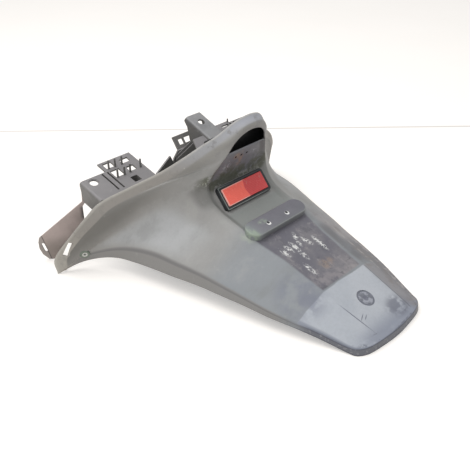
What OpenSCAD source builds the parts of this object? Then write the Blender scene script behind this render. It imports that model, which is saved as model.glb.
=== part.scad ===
// Rear fender of a motor scooter. One moulding makes the long tongue that carries the number
// plate, the recess with its lamp hood, the two flared wings and the mounting brackets in front.
// A red reflector in a black frame is held in the recess by a stud and a nut.
// X runs across the machine, Y runs forward from the tongue and Z runs up. The fender lies on
// the end of its tongue and on its two wing tips, which touch the plane z = 0.

/* [Shell] */
// Wall thickness of the moulding
wall = 3; // [2.5:0.25:3.5]
// Distance between the two wing tips
wing_span = 504; // [460:4:540]
// Height of the crest of the lamp hood
hood_height = 246; // [236:2:256]
// Width of the tongue across its rounded end
tongue_width = 164; // [150:2:176]
// Height of the upright rim round the end of the tongue
rim_height = 12; // [9:0.5:14]

/* [Plate zone] */
// Slope of the flat zone under the number plate
plate_slope = 16; // [13:0.5:18]
// Slope of the panel at the end of the tongue
panel_slope = 20; // [17:0.5:22]
// Diameter of the round mark moulded into the panel
mark_d = 27; // [20:1:34]
// Depth of the round mark
mark_depth = 0.8; // [0.4:0.1:1.2]

/* [Number plate pad] */
// Length of the raised pad
pad_length = 126; // [110:2:132]
// Width of the raised pad
pad_width = 32; // [28:1:38]
// Height of the raised pad above the plate zone
pad_height = 11; // [6:0.5:14]
// Distance between the two screw holes in the pad
pad_hole_gap = 42; // [30:2:70]
// Diameter of the screw holes in the pad
pad_hole_d = 5; // [4:0.5:7]

/* [Reflector] */
// Width of the reflector's frame
reflector_width = 100; // [90:2:108]
// Height of the reflector's frame
reflector_height = 40; // [36:1:44]
// Depth of the reflector's frame
reflector_depth = 8; // [6:0.5:10]
// Slope of the reflector's back
reflector_slope = 49; // [45:1:53]
// Width of the border round the red lens
lens_border = 5.5; // [4:0.5:8]
// Diameter of the reflector's fixing stud
stud_d = 5; // [4:0.5:6]
// Width across the flats of the fixing nut
nut_flats = 8; // [7:0.5:10]

/* [Brackets] */
// Thickness of the bracket plates
plate_t = 3; // [2.5:0.5:4]
// Slope of the bracket deck
deck_slope = 14; // [11:0.5:16]
// Width of each outer bracket finger
finger_width = 40; // [34:1:44]
// Diameter of the bolt hole in each outer finger
finger_hole_d = 13.5; // [10:0.5:15]
// Width of each lattice
lattice_width = 63; // [56:1:66]
// Width of the saddle bracket in the middle
saddle_width = 35; // [30:1:40]
// Diameter of the bolt hole in the saddle bracket
saddle_hole_d = 11; // [8:0.5:13]
// Diameter of the screw hole in each wing
wing_hole_d = 5; // [4:0.5:6]

/* [Hidden] */
$fn = 48;

function lerp(a, b, t) = a + (b - a) * t;
function unit(v) = v / max(norm(v), 1e-9);
function flip_x(p) = [-p.x, p.y, p.z];
// Smooth curve through b and c, with a and d beyond them
function through(a, b, c, d, t) =
    0.5 * (2 * b + (c - a) * t + (2 * a - 5 * b + 4 * c - d) * t * t + (3 * (b - c) + d - a) * t * t * t);

// Shape of the tongue. Y is 0 at its corners, and panel_y is where panel and plate zone meet.
panel_y = 79;
panel_z = 47.6;
foot_y = 266;
function strip_z(y) =
    panel_z + (y - panel_y) * tan(y < panel_y ? panel_slope : plate_slope);
end_half = tongue_width / 2;
wide = wing_span / 504;
// The hood and what it carries stretch with the hood's height, from the top of the seat upward
hood_foot = 150;
drawn_crest = 246;
stretch = (hood_height - hood_foot) / (drawn_crest - hood_foot);
function raised(z) = z <= hood_foot ? z : hood_foot + (z - hood_foot) * stretch;

// Half of the outer shape as spokes, from the middle of the tongue's end round to the middle of
// the hood. Each spoke has its start on the inner outline, how far its middle is pushed out of
// line, its shoulder, and its end on the free edge.
function strip_point(x, y) = [x, y, strip_z(y)];
function end_spoke(x, y, shoulder, foot) =
    [strip_point(x, y), [0, 0, 0.4],
     [end_half * shoulder[0], shoulder[1], rim_height * shoulder[2]],
     [end_half * foot[0], foot[1], rim_height * foot[2]]];
function tongue_spoke(half, y, rim_x, rim_z, band_x, band_z) =
    [strip_point(half, y), [0, 0, 1.5],
     [rim_x * end_half / 82, y, rim_z],
     [band_x * end_half / 82, y + (rim_z - band_z) * 0.15, band_z]];
function wing_spoke(inner, push, shoulder, foot) =
    [[inner[0], inner[1], raised(inner[2])], push,
     [shoulder[0] * wide, shoulder[1], raised(shoulder[2])],
     [foot[0] * wide, foot[1], raised(foot[2])]];
SPOKES = [
    end_spoke(0, -12, [0, -19.5, 1], [0, -21, 0]),
    end_spoke(10.25, -11.5, [0.42, -17.2, 1], [0.44, -18.4, 0]),
    end_spoke(20.5, -10, [0.74, -12.5, 0.95], [0.76, -13.8, 0]),
    end_spoke(30.75, -7, [0.92, -3.5, 0.9], [0.94, -4.5, 0]),
    end_spoke(41, -2, [0.99, 8, 0.9], [1, 8, 0.1]),
    tongue_spoke(42, 26, 87, 14, 88.5, 6),
    tongue_spoke(44, 52, 95, 19.5, 96.5, 11),
    tongue_spoke(46, 80, 104, 24, 105.5, 15),
    tongue_spoke(48, 120, 114.5, 29.5, 116.5, 18),
    tongue_spoke(51, 160, 122.5, 36, 125.5, 22),
    tongue_spoke(56, 195, 130, 42.5, 134, 24.5),
    wing_spoke([61, 224, 94], [0, 0, 0], [138, 236, 49], [142, 238, 26]),
    wing_spoke([61, 243, 99], [0, 0, 0], [148, 275, 54], [153, 278, 27]),
    wing_spoke([62, 260, 104], [0, -1, 1], [157, 312, 58], [162, 315, 28]),
    wing_spoke([63, 273, 110], [0, -4, 2], [167, 345, 56], [171, 350, 28]),
    wing_spoke([65, 285, 120], [0, -5, 6], [180, 375, 50], [181, 380, 27]),
    wing_spoke([66.5, 292, 132], [0, -6, 9], [196, 402, 40], [197, 405, 23]),
    wing_spoke([66, 294, 142], [0, -5, 12], [216, 424, 28], [219, 431, 12]),
    wing_spoke([64, 293, 149], [0, 1, 16], [240, 436, 12], [252, 446, 0]),
    wing_spoke([61, 290, 156], [0, 4, 12], [238, 433, 32], [250.5, 452, 25]),
    wing_spoke([58, 288, 162], [0, 6, 7], [222, 416, 64], [234, 423, 71]),
    wing_spoke([55, 285.5, 168], [0, 7, 3], [201, 399, 92], [212, 407, 103]),
    wing_spoke([52, 283, 173], [0, 6, 0], [179, 387, 113], [189, 398, 124]),
    wing_spoke([49.5, 280.5, 178], [0, 4, -1], [144, 364, 133], [150, 372, 145]),
    wing_spoke([46.5, 278, 184], [0, 3, -2], [107, 338, 152], [112, 346, 165]),
    wing_spoke([43, 275, 190], [0, 1, -1], [83, 310, 179], [86, 318, 191]),
    wing_spoke([39, 271.5, 200], [0, -1, 1], [66, 295, 196], [68, 303, 207]),
    wing_spoke([32, 267, 212], [0, -3, 2], [48, 280, 214], [50, 288, 222]),
    wing_spoke([18, 263.5, 222], [0, -4, 3], [25, 269, 234], [26, 276, 240]),
    wing_spoke([0, 263, 225], [0, -4, 3], [0, 265, 239], [0, 272, 246]),
];
// Middle line of the recess, one point for each spoke from the eleventh: first along the plate
// zone, then up the reflector's back and the plate under the lamp
RECESS = [
    [195, strip_z(195)], [225, strip_z(225)], [244, strip_z(244)], [259, strip_z(259)],
    [267.5, 101.5], [277, 108], [289, 121.5], [297, 130.5], [298.5, 137], [296.5, 146],
    [293.5, 155], [290.5, 162.5], [287.5, 170], [285, 176], [283, 181.5], [281, 187],
];
FIRST_RECESS = 10;
SUB = 1;
CORNER = 4;
TOP = FIRST_RECESS + len(RECESS) - 1;
MAIN = [0, 0.14, 0.34, 0.56, 0.8, 1];
BAND = [1];
J = len(MAIN) + len(BAND) - 1;
n = SUB * (len(SPOKES) - 1);
ring = 2 * n;
ends = SUB * CORNER;
cols = 2 * ends;
rows = SUB * (TOP - CORNER);

function mirrored(s) = [flip_x(s[0]), flip_x(s[1]), flip_x(s[2]), flip_x(s[3])];
last = len(SPOKES) - 1;
function key(k) =
    k < 0 ? mirrored(SPOKES[-k]) : k > last ? mirrored(SPOKES[2 * last - k]) : SPOKES[k];
function spoke(i) =
    let (k = floor(i / SUB), t = i / SUB - k) through(key(k - 1), key(k), key(k + 1), key(k + 2), t);
function on_floor(p) = [p.x, p.y, max(p.z, 0)];
function along(s, j) =
    j < len(MAIN)
        ? lerp(s[0], s[2], MAIN[j]) + 4 * MAIN[j] * (1 - MAIN[j]) * s[1]
        : lerp(s[2], s[3], BAND[j - len(MAIN)]);
half_ring = [for (i = [0:n]) let (s = spoke(i)) [for (j = [0:J]) on_floor(along(s, j))]];
function ring_point(i, j) =
    let (k = (i + ring) % ring) k <= n ? half_ring[k][j] : flip_x(half_ring[ring - k][j]);
function middle(k) =
    let (m = RECESS[min(max(k - FIRST_RECESS, 0), len(RECESS) - 1)]) [m[0], raised(m[1])];
// Middle line of the strip beside spoke i
function centre(i) =
    let (k = floor(i / SUB), t = i / SUB - k)
    i < SUB * FIRST_RECESS
        ? [half_ring[i][0].y, half_ring[i][0].z]
        : through(middle(k - 1), middle(k), middle(k + 1), middle(k + 2), t);
// The recess wall starts at this share of the half width
WALL_FOOT = 0.82;
function strip(r, c) =
    let (i = ends + r, u = c / ends - 1, a = half_ring[i][0], m = centre(i),
         f = max(0, (abs(u) - WALL_FOOT) / (1 - WALL_FOOT)), w = f * f * (3 - 2 * f))
    [u * a.x, lerp(m[0], a.y, w), lerp(m[1], a.z, w)];
function surface_point(r, c) =
    r <= 0 ? ring_point(c - ends, 0)
    : c <= 0 ? ring_point(-ends - r, 0)
    : c >= cols ? ring_point(ends + r, 0)
    : strip(r, c);
function ring_normal(i, j) =
    unit(cross(ring_point(i, min(j + 1, J)) - ring_point(i, max(j - 1, 0)),
               ring_point(i + 1, j) - ring_point(i - 1, j)));
function strip_normal(r, c) =
    unit(cross(surface_point(r, min(c + 1, cols)) - surface_point(r, max(c - 1, 0)),
               surface_point(min(r + 1, rows), c) - surface_point(max(r - 1, 0), c)));
// Normal on the inner outline, where ring and strip share their points
function edge_normal(i) =
    let (k = (i + ring) % ring, h = k <= n ? k : k - ring, side = h < 0 ? 0 : cols,
         r = abs(h) - ends)
    r < 0 ? unit(ring_normal(i, 0) + strip_normal(0, h + ends))
    : r <= rows ? unit(ring_normal(i, 0) + strip_normal(r, side))
    : ring_normal(i, 0);

outer_ring = [for (i = [0:ring - 1]) for (j = [0:J]) ring_point(i, j)];
// The inner face follows spokes of its own, set in from the outer ones by the wall
SHOULDER = len(MAIN) - 1;
MITRE = 1.15;
inner_half = [for (i = [0:n])
    let (s = spoke(i),
         inner = [s[0] - wall * edge_normal(i), s[1],
                  s[2] - MITRE * wall * ring_normal(i, SHOULDER), s[3] - wall * ring_normal(i, J)])
    [for (j = [0:J]) on_floor(along(inner, j))]];
function inner_point(i, j) = i <= n ? inner_half[i][j] : flip_x(inner_half[ring - i][j]);
inner_ring = [for (i = [0:ring - 1]) for (j = [0:J]) inner_point(i, j)];
outer_strip = [for (r = [1:rows]) for (c = [1:cols - 1]) strip(r, c)];
inner_strip = [for (r = [1:rows]) for (c = [1:cols - 1]) strip(r, c) - wall * strip_normal(r, c)];
skin_points = concat(outer_ring, outer_strip, inner_ring, inner_strip);
layer = len(outer_ring) + len(outer_strip);
function at_ring(i, j) = ((i + ring) % ring) * (J + 1) + j;
function at_strip(r, c) =
    r <= 0 ? at_ring(c - ends, 0)
    : c <= 0 ? at_ring(-ends - r, 0)
    : c >= cols ? at_ring(ends + r, 0)
    : len(outer_ring) + (r - 1) * (cols - 1) + c - 1;
function two(a, b, c, d) = [[a, b, c], [a, c, d]];
outer_faces = concat(
    [for (i = [0:ring - 1]) for (j = [0:J - 1])
        each two(at_ring(i, j), at_ring(i + 1, j), at_ring(i + 1, j + 1), at_ring(i, j + 1))],
    [for (r = [0:rows - 1]) for (c = [0:cols - 1])
        each two(at_strip(r, c), at_strip(r + 1, c), at_strip(r + 1, c + 1), at_strip(r, c + 1))]);
inner_faces = [for (f = outer_faces) [f[2] + layer, f[1] + layer, f[0] + layer]];
function closing(a, b) = two(a, b, b + layer, a + layer);
edge_faces = concat(
    [for (i = [0:ring - 1]) each closing(at_ring(i, J), at_ring(i + 1, J))],
    [for (i = [ends + rows:ring - ends - rows - 1]) each closing(at_ring(i + 1, 0), at_ring(i, 0))],
    [for (c = [0:cols - 1]) each closing(at_strip(rows, c + 1), at_strip(rows, c))]);

module skin() {
    polyhedron(points = skin_points, faces = concat(outer_faces, inner_faces, edge_faces), convexity = 10);
}

// Points where the middle of the skin crosses a plane given by its height at y = 0 and its slope
function over(p, z0, slope) = p.z - z0 - p.y * tan(slope);
function crossing(i, z0, slope) =
    let (line = [for (j = [0:J]) (half_ring[i][j] + inner_ring[i * (J + 1) + j]) / 2],
         h = [for (q = line) over(q, z0, slope)],
         hits = [for (j = [0:J - 1]) if (h[j] >= 0 && h[j + 1] < 0)
             lerp(line[j], line[j + 1], h[j] / (h[j] - h[j + 1]))])
    hits[0];
function crossings(first, end, z0, slope) =
    [for (i = [first:end]) let (p = crossing(i, z0, slope)) if (p != undef) [p.x, p.y]];
function arc(x, y, r, from, to) = [for (k = [0:6]) let (a = lerp(from, to, k / 6)) [x + r * cos(a), y + r * sin(a)]];
function both_sides(right) =
    concat(right, [for (k = [len(right) - 1:-1:0]) if (right[k].x > 0.01) [-right[k].x, right[k].y]]);
module two_sides() {
    children();
    mirror([1, 0, 0]) children();
}

// Plate lying on a slope, drawn by its outline in plan
module sloped(y, z, slope, thick) {
    translate([0, y, z])
        rotate([slope, 0, 0])
            translate([0, 0, -thick])
                linear_extrude(thick)
                    scale([1, 1 / cos(slope)])
                        translate([0, -y])
                            children();
}
// Section drawn across the machine and drawn out along a slope from one y to another
module section_along(y, z, slope, back, front) {
    translate([0, y, z])
        rotate([slope, 0, 0])
            translate([0, (front - y) / cos(slope), 0])
                rotate([90, 0, 0])
                    linear_extrude((front - back) / cos(slope))
                        children();
}

// The deck carries the outer fingers and the lattices
deck_y = 399;
deck_z = 127;
deck_rear = 269.5;
deck_middle_front = 400;
finger_front = 448.5;
finger_rear = 396;
finger_lean = 12;
finger_side = 189;
finger_drop = 30;
bend_r = 6;
lattice_front = 470;
right_lattice_front = 453;
lattice_side = 139;
deck_z0 = deck_z - deck_y * tan(deck_slope);
function deck_middle(y) = deck_z0 + y * tan(deck_slope) - plate_t / 2;
finger_hole = [170, 437];
finger_hole_ring = 3;
finger_hole_sink = 0.8;
module finger_section() {
    inner_r = bend_r - plate_t;
    polygon(concat(
        [[finger_side - bend_r, 0]],
        arc(finger_side - bend_r, -bend_r, bend_r, 90, 0),
        [[finger_side, -finger_drop], [finger_side - plate_t, -finger_drop]],
        arc(finger_side - bend_r, -bend_r, inner_r, 0, 90)));
}
module deck_outline(lattice_end) {
    half = concat(
        [[-1, deck_rear], [58, deck_rear]],
        crossings(12, TOP - 3, deck_z0, deck_slope),
        [[finger_side - bend_r, finger_rear], [finger_side - bend_r, finger_front], [lattice_side + 2, finger_front],
         [lattice_side, lattice_end], [lattice_side - lattice_width, lattice_end],
         [lattice_side - lattice_width, deck_middle_front], [-1, deck_middle_front]]);
    polygon(half);
}
// Windows of the lattice as x, y, width and depth
WINDOWS = [[116, 429, 17, 17], [91, 430, 14, 12]];
FRONT_WINDOWS = [[117, 453, 16, 13], [87, 452, 16, 10]];
SQUARE_HOLE = [102, 405, 13, 13];
PINS = [[130, 452], [118, 451.5], [105, 451], [131, 428], [118, 427.5], [106, 428.5], [84, 430]];
RIGHT_PINS = [[136, 450]];
right_pin_length = 8;
pin_d = 3.6;
pin_length = 16;
slot_gap = 3;
slot_rear = 404;
module window(w) translate([w[0], w[1]]) square([w[2], w[3]]);
module holes_of_lattice(windows) {
    for (w = windows) window(w);
    window(SQUARE_HOLE);
    slots();
}
// Two slots, with a narrow ridge between them, part each outer finger from its lattice
module slots() {
    window([lattice_side - slot_gap, slot_rear, slot_gap, finger_front - slot_rear - 2]);
    window([finger_side - finger_width - slot_gap, slot_rear, slot_gap, finger_front - slot_rear - 2]);
}
// A closed gutter hangs below the two slots
gutter_depth = 9;
gutter_wall = 2;
module gutter() {
    first = lattice_side - slot_gap - gutter_wall;
    last = finger_side - finger_width + gutter_wall;
    length = finger_front - slot_rear;
    hollow = [first + gutter_wall, slot_rear, last - first - 2 * gutter_wall, length - 2];
    low = gutter_depth - gutter_wall;
    sloped(deck_y, deck_z, deck_slope, plate_t + gutter_depth)
        difference() {
            window([first, slot_rear - gutter_wall, last - first, length + gutter_wall]);
            window(hollow);
        }
    translate([0, low * sin(deck_slope), -low * cos(deck_slope)])
        sloped(deck_y, deck_z, deck_slope, plate_t)
            window([first, slot_rear - gutter_wall, last - first, length + gutter_wall]);
}
// The front edge of the finger's side leans back
module finger_corner() {
    top = deck_z0 + finger_front * tan(deck_slope);
    translate([finger_side - bend_r - 1, finger_front + 1, top])
        rotate([-finger_lean, 0, 0])
            translate([0, 0, -2 * finger_drop])
                cube([bend_r + 2, finger_drop, 2 * finger_drop]);
}
module pins(places, length) {
    for (p = places)
        translate([p.x, p.y, deck_middle(p.y)])
            cylinder(h = length, d = pin_d, $fn = 16);
}
// The square hole is the mouth of a blind pocket below the deck
POCKET = [2, 13];
module square_pocket() {
    wall_t = POCKET[0];
    depth = POCKET[1];
    sloped(deck_y, deck_z, deck_slope, plate_t + depth)
        difference() {
            window([SQUARE_HOLE[0] - wall_t, SQUARE_HOLE[1] - wall_t,
                    SQUARE_HOLE[2] + 2 * wall_t, SQUARE_HOLE[3] + 2 * wall_t]);
            window(SQUARE_HOLE);
        }
    translate([0, depth * sin(deck_slope), -depth * cos(deck_slope)])
        sloped(deck_y, deck_z, deck_slope, plate_t)
            window([SQUARE_HOLE[0] - 1, SQUARE_HOLE[1] - 1, SQUARE_HOLE[2] + 2, SQUARE_HOLE[3] + 2]);
}
// The left lattice is longer than the right one and has a second row of windows
module deck() {
    two_sides() square_pocket();
    sloped(deck_y, deck_z, deck_slope, plate_t)
        difference() {
            union() {
                deck_outline(right_lattice_front);
                mirror([1, 0]) deck_outline(lattice_front);
            }
            holes_of_lattice(WINDOWS);
            mirror([1, 0]) holes_of_lattice(concat(WINDOWS, FRONT_WINDOWS));
        }
    two_sides() {
        difference() {
            section_along(deck_y, deck_z, deck_slope, finger_rear + 2, finger_front) finger_section();
            finger_corner();
        }
        gutter();
    }
    pins(RIGHT_PINS, right_pin_length);
    mirror([1, 0, 0]) pins(PINS, pin_length);
}

// The saddle bracket stands behind the hood on a shelf and on a wall across the lamp's cavity
saddle_slope = 20;
saddle_y = 392;
saddle_z = raised(211);
saddle_z0 = saddle_z - saddle_y * tan(saddle_slope);
saddle_drop = 90;
shelf_drop = 4;
cavity_wall_y = 300;
saddle_hole_y = 373;
saddle_front = 382;
SADDLE_LEAN = [[0, 172], [6, 196], [18, 212], [18, 240]];
module saddle_section() {
    half = saddle_width / 2;
    r = bend_r;
    inner_r = r - plate_t;
    polygon(concat(
        [[-half, -saddle_drop]], arc(-half + r, -r, r, 180, 90), arc(half - r, -r, r, 90, 0),
        [[half, -saddle_drop], [half - plate_t, -saddle_drop]],
        arc(half - r, -r, inner_r, 0, 90), arc(-half + r, -r, inner_r, 90, 180),
        [[-half + plate_t, -saddle_drop]]));
}
// Outline in y and z that the saddle is trimmed to: its sides lean back and end in the deck
module saddle_trim() {
    translate([-60, 0, 0])
        rotate([90, 0, 90])
            linear_extrude(120)
                polygon(concat([[cavity_wall_y, deck_middle(cavity_wall_y)],
                                [saddle_front, deck_middle(saddle_front)]],
                               [for (p = SADDLE_LEAN) [saddle_front + p[0], raised(p[1])]],
                               [[cavity_wall_y, saddle_z + 29]]));
}
module saddle() {
    intersection() {
        section_along(saddle_y, saddle_z, saddle_slope, cavity_wall_y, saddle_y) saddle_section();
        saddle_trim();
    }
    shelf_z0 = saddle_z0 - shelf_drop;
    sloped(saddle_y, saddle_z - shelf_drop, saddle_slope, plate_t)
        polygon(both_sides(concat(
            [[0, cavity_wall_y]], crossings(TOP - 5, TOP, shelf_z0, saddle_slope),
            [[38, 352], [0, 352]])));
}
// Wall that closes the lamp's cavity in front, from the deck up to the edge of the hood
cavity_wall_top = raised(212);
cavity_wall_seam = raised(203);
function at_wall(i) =
    let (line = [for (j = [0:J]) (half_ring[i][j] + inner_ring[i * (J + 1) + j]) / 2],
         hits = [for (j = [0:J - 1]) if (line[j].y < cavity_wall_y && line[j + 1].y >= cavity_wall_y)
             lerp(line[j], line[j + 1], (cavity_wall_y - line[j].y) / (line[j + 1].y - line[j].y))])
    hits[0];
module cavity_wall() {
    low = deck_middle(cavity_wall_y);
    side = [for (i = [15:TOP]) let (p = at_wall(i)) if (p != undef && p.z > low && p.z < cavity_wall_seam) [p.x, p.z]];
    translate([0, cavity_wall_y + plate_t, 0])
        rotate([90, 0, 0])
            linear_extrude(plate_t)
                polygon(both_sides(concat([[0, low], [side[0].x - 1, low]], side,
                    [[side[len(side) - 1].x - 8, cavity_wall_top], [0, cavity_wall_top]])));
}
// Web across the front of the deck, with two ribs beside it to each side of the saddle
web_low = deck_z - 2;
web_y = 397;
RIB_STARTS = [396, 389];
rib_turn = 36;
rib_length = 31;
rib_t = 2.4;
module web() {
    translate([0, web_y, 0])
        rotate([90, 0, 0])
            linear_extrude(plate_t)
                polygon(both_sides([[0, web_low], [80, web_low], [80, 133], [50, 154], [43.5, 140],
                                    [42, 147], [33, 158], [0, 158]]));
    two_sides()
        for (y = RIB_STARTS)
            translate([42, y, 0])
                rotate([90, 0, 180 + rib_turn])
                    linear_extrude(rib_t)
                        polygon([[0, deck_middle(y)], [0, 147], [rib_length, 176],
                                 [rib_length, deck_middle(y - rib_length * sin(rib_turn))]]);
}
// Lug that leans forward from the top of the web, with a slotted hole crossed by two pins
lug_slope = 54;
lug_half = 31;
module lug() {
    translate([0, web_y, 158])
        rotate([lug_slope, 0, 0])
            translate([0, -3, -plate_t])
                linear_extrude(plate_t)
                    difference() {
                        translate([-lug_half, 0]) square([2 * lug_half, 25]);
                        translate([-23, 9]) square([46, 9]);
                    }
    two_sides()
        translate([12, web_y, 158])
            rotate([lug_slope, 0, 0])
                translate([-1.5, 4, -plate_t])
                    cube([3, 13, plate_t]);
}

// The arm stands outside the outer finger and reaches forward to its own screw slot
arm_back = [189, 447];
arm_tip = [248.5, 499];
arm_turn = atan2(arm_tip.y - arm_back.y, arm_tip.x - arm_back.x);
arm_length = norm(arm_tip - arm_back);
arm_step = 9;
arm_slot = [70.5, 24];
arm_slot_d = 5;
arm_slot_length = 17;
arm_slot_lean = 15;
// Tie from the arm back to the inside of the wing
tie_start = [227.2, 481.5, 5];
tie_turn = -70;
tie_length = 44;
tie_height = 10;
module arm() {
    translate([arm_back.x, arm_back.y, 0])
        rotate([90, 0, arm_turn])
            translate([0, 0, -plate_t])
                difference() {
                    linear_extrude(plate_t)
                        difference() {
                            polygon([[-5, 124], [-0.5, 124], [0.5, 106], [arm_length - 2, 42], [arm_length, 34],
                                     [arm_length, 22], [arm_length - 4, 11], [arm_length - 13, 1.5],
                                     [arm_length - 21, 1.5], [43, 20], [30, 36], [1, 72], [1, 97], [-3, 103]]);
                            translate(arm_slot)
                                rotate(90 - arm_slot_lean)
                                    stadium(arm_slot_length, arm_slot_d);
                        }
                    translate([-2, 60, plate_t - 1]) cube([arm_step + 2, 36, 2]);
                }
    translate(tie_start)
        rotate([90, 0, tie_turn])
            linear_extrude(plate_t)
                square([tie_length, tie_height]);
}

// Raised pad for the number plate
pad_y = 210.4;
pad_top_z = strip_z(pad_y) + pad_height / cos(plate_slope);
pad_holes_back = 2;
module stadium(length, width) {
    r = width / 2;
    h = length / 2 - r;
    polygon(concat([for (k = [0:12]) [h + r * cos(15 * k - 90), r * sin(15 * k - 90)]],
                   [for (k = [0:12]) [-h + r * cos(15 * k + 90), r * sin(15 * k + 90)]]));
}
module pad() {
    translate([0, pad_y, pad_top_z])
        rotate([plate_slope, 0, 0])
            translate([0, 0, -pad_height - wall / 2])
                linear_extrude(pad_height + wall / 2)
                    stadium(pad_length, pad_width);
}
module pad_holes() {
    for (k = [-1, 1])
        translate([0, pad_y, pad_top_z])
            rotate([plate_slope, 0, 0])
                translate([k * pad_hole_gap / 2, -pad_holes_back, -pad_height - wall - 2])
                    cylinder(h = pad_height + wall + 4, d = pad_hole_d);
}

// Seat of the reflector. Its own z axis points out of the recess.
seat_y = 283.4;
seat_z = 114.4;
seat_rise = 1.2;
seat_back = wall + 2.5;
boss_d = 14;
module at_seat() translate([0, seat_y, seat_z]) rotate([reflector_slope, 0, 0]) children();
seat_depth = 2;
seat_margin = 1.2;
seat_rim = 0.3;
pocket_gap = 0.3;
stud_clear = 0.25;
module reflector_plan(margin, low, high) {
    translate([-reflector_width / 2 - margin, -reflector_height / 2 - margin, low])
        cube([reflector_width + 2 * margin, reflector_height + 2 * margin, high - low]);
}
module seat() {
    at_seat() {
        reflector_plan(seat_margin, -seat_depth, seat_rise + seat_rim);
        translate([0, 0, -seat_back]) cylinder(h = seat_back, d = boss_d);
    }
}
// The reflector's lower edge stands in a shallow pocket
module reflector_pocket() at_seat() reflector_plan(pocket_gap, seat_rise, seat_rise + reflector_depth);
lens_t = 2.5;
lens_gap = 0.15;
lens_rise = 0.8;
nut_t = 4;
flange_t = 1.2;
stud_length = seat_rise + seat_back + nut_t + flange_t + 2;
module reflector_housing() {
    at_seat() translate([0, 0, seat_rise]) color([0.06, 0.06, 0.07]) {
        difference() {
            reflector_plan(0, 0, reflector_depth);
            reflector_plan(-lens_border, reflector_depth - lens_t, reflector_depth + 1);
        }
        translate([0, 0, -stud_length]) cylinder(h = stud_length + 0.5, d = stud_d);
    }
}
module reflector_lens() {
    color([0.8, 0.1, 0.08])
        at_seat()
            translate([0, 0, seat_rise])
                reflector_plan(-lens_border - lens_gap, reflector_depth - lens_t, reflector_depth + lens_rise);
}
module reflector_nut() {
    color([0.6, 0.6, 0.62])
        at_seat()
            translate([0, 0, -seat_back])
                difference() {
                    union() {
                        translate([0, 0, -flange_t]) cylinder(h = flange_t, d = nut_flats + 3);
                        translate([0, 0, -flange_t - nut_t]) cylinder(h = nut_t, d = nut_flats / cos(30), $fn = 6);
                    }
                    translate([0, 0, -flange_t - nut_t - 1]) cylinder(h = flange_t + nut_t + 2, d = stud_d);
                }
}

// Small holes of the lamp plate, and the screw hole and slot of each wing
LAMP_HOLES = [-12.1, 0, 12.1];
lamp_holes_at = [285.4, 175.6];
lamp_hole_d = 3.2;
lamp_plate_turn = 106;
wing_screw = [17, 0.4, 4, 0.66];
wing_boss_d = 15;
wing_boss_depth = 6;
wing_boss_rise = 1.2;
lip_slot_at = [235.6, 433, 46.5];
lip_slot = [6.5, 60, 27];
lip_slot_lean = 14;
function turn_to(n) = [0, acos(n.z), atan2(n.y, n.x)];
// Point of the skin between two spokes and two steps along them, and the direction out of it
function between(a, b, c, d, s) = lerp(lerp(a, b, s[1]), lerp(c, d, s[1]), s[3]);
function skin_at(s) = between(ring_point(s[0], s[2]), ring_point(s[0] + 1, s[2]),
                              ring_point(s[0], s[2] + 1), ring_point(s[0] + 1, s[2] + 1), s);
function way_out_at(s) = unit(between(ring_normal(s[0], s[2]), ring_normal(s[0] + 1, s[2]),
                                      ring_normal(s[0], s[2] + 1), ring_normal(s[0] + 1, s[2] + 1), s));
module at_wing_screw() translate(skin_at(wing_screw)) rotate(turn_to(way_out_at(wing_screw))) children();
module skin_holes() {
    for (x = LAMP_HOLES)
        translate([x, lamp_holes_at[0], raised(lamp_holes_at[1])])
            rotate([lamp_plate_turn, 0, 0])
                cylinder(h = 16, d = lamp_hole_d, center = true);
    at_seat() translate([0, 0, -seat_back - 1]) cylinder(h = seat_back + 4, d = stud_d + 2 * stud_clear);
    two_sides() {
        at_wing_screw() translate([0, 0, -wing_boss_depth - 1]) cylinder(h = wing_boss_depth + 5, d = wing_hole_d);
        translate(lip_slot_at) rotate([0, -lip_slot_lean, 0]) cube(lip_slot, center = true);
    }
}
finger_z0 = deck_z0 + finger_hole.y * tan(deck_slope);
saddle_hole_z = saddle_z0 + saddle_hole_y * tan(saddle_slope);
module bracket_holes() {
    two_sides()
        translate([finger_hole.x, finger_hole.y, finger_z0]) rotate([deck_slope, 0, 0]) {
            translate([0, 0, -plate_t - 1]) cylinder(h = plate_t + 2, d = finger_hole_d);
            translate([0, 0, -finger_hole_sink]) cylinder(h = 2, d = finger_hole_d + finger_hole_ring);
        }
    translate([0, saddle_hole_y, saddle_hole_z]) rotate([saddle_slope, 0, 0])
        translate([0, 0, -plate_t - 1]) cylinder(h = plate_t + 2, d = saddle_hole_d);
}
mark_y = 39;
module mark() {
    translate([0, mark_y, strip_z(mark_y)])
        rotate([panel_slope, 0, 0])
            difference() {
                translate([0, 0, -mark_depth]) cylinder(h = 3, d = mark_d);
                translate([0, 0, -mark_depth - 1]) cylinder(h = mark_depth + 0.7, d = mark_d - 5);
            }
}

module brackets() {
    difference() {
        union() {
            deck();
            saddle();
            cavity_wall();
            web();
            lug();
            two_sides() arm();
        }
        bracket_holes();
    }
}
module fender_body() {
    color([0.33, 0.34, 0.34]) {
        difference() {
            union() {
                skin();
                pad();
                seat();
                two_sides() at_wing_screw()
                    translate([0, 0, -wing_boss_depth])
                        cylinder(h = wing_boss_depth + wing_boss_rise, d = wing_boss_d);
            }
            reflector_pocket();
            pad_holes();
            skin_holes();
            mark();
        }
        brackets();
    }
}

// The origin is below the middle of the part's box
front_y = arm_tip.y + plate_t * cos(arm_turn);
end_y = -21;
module placed() translate([0, -(front_y + end_y) / 2, 0]) children();
placed() fender_body();
placed() reflector_housing();
placed() reflector_lens();
placed() reflector_nut();
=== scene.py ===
from math import atan2, cos, radians, sin, tan

import bmesh
import bpy
import numpy as np
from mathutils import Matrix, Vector
from mathutils.geometry import tessellate_polygon


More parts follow.
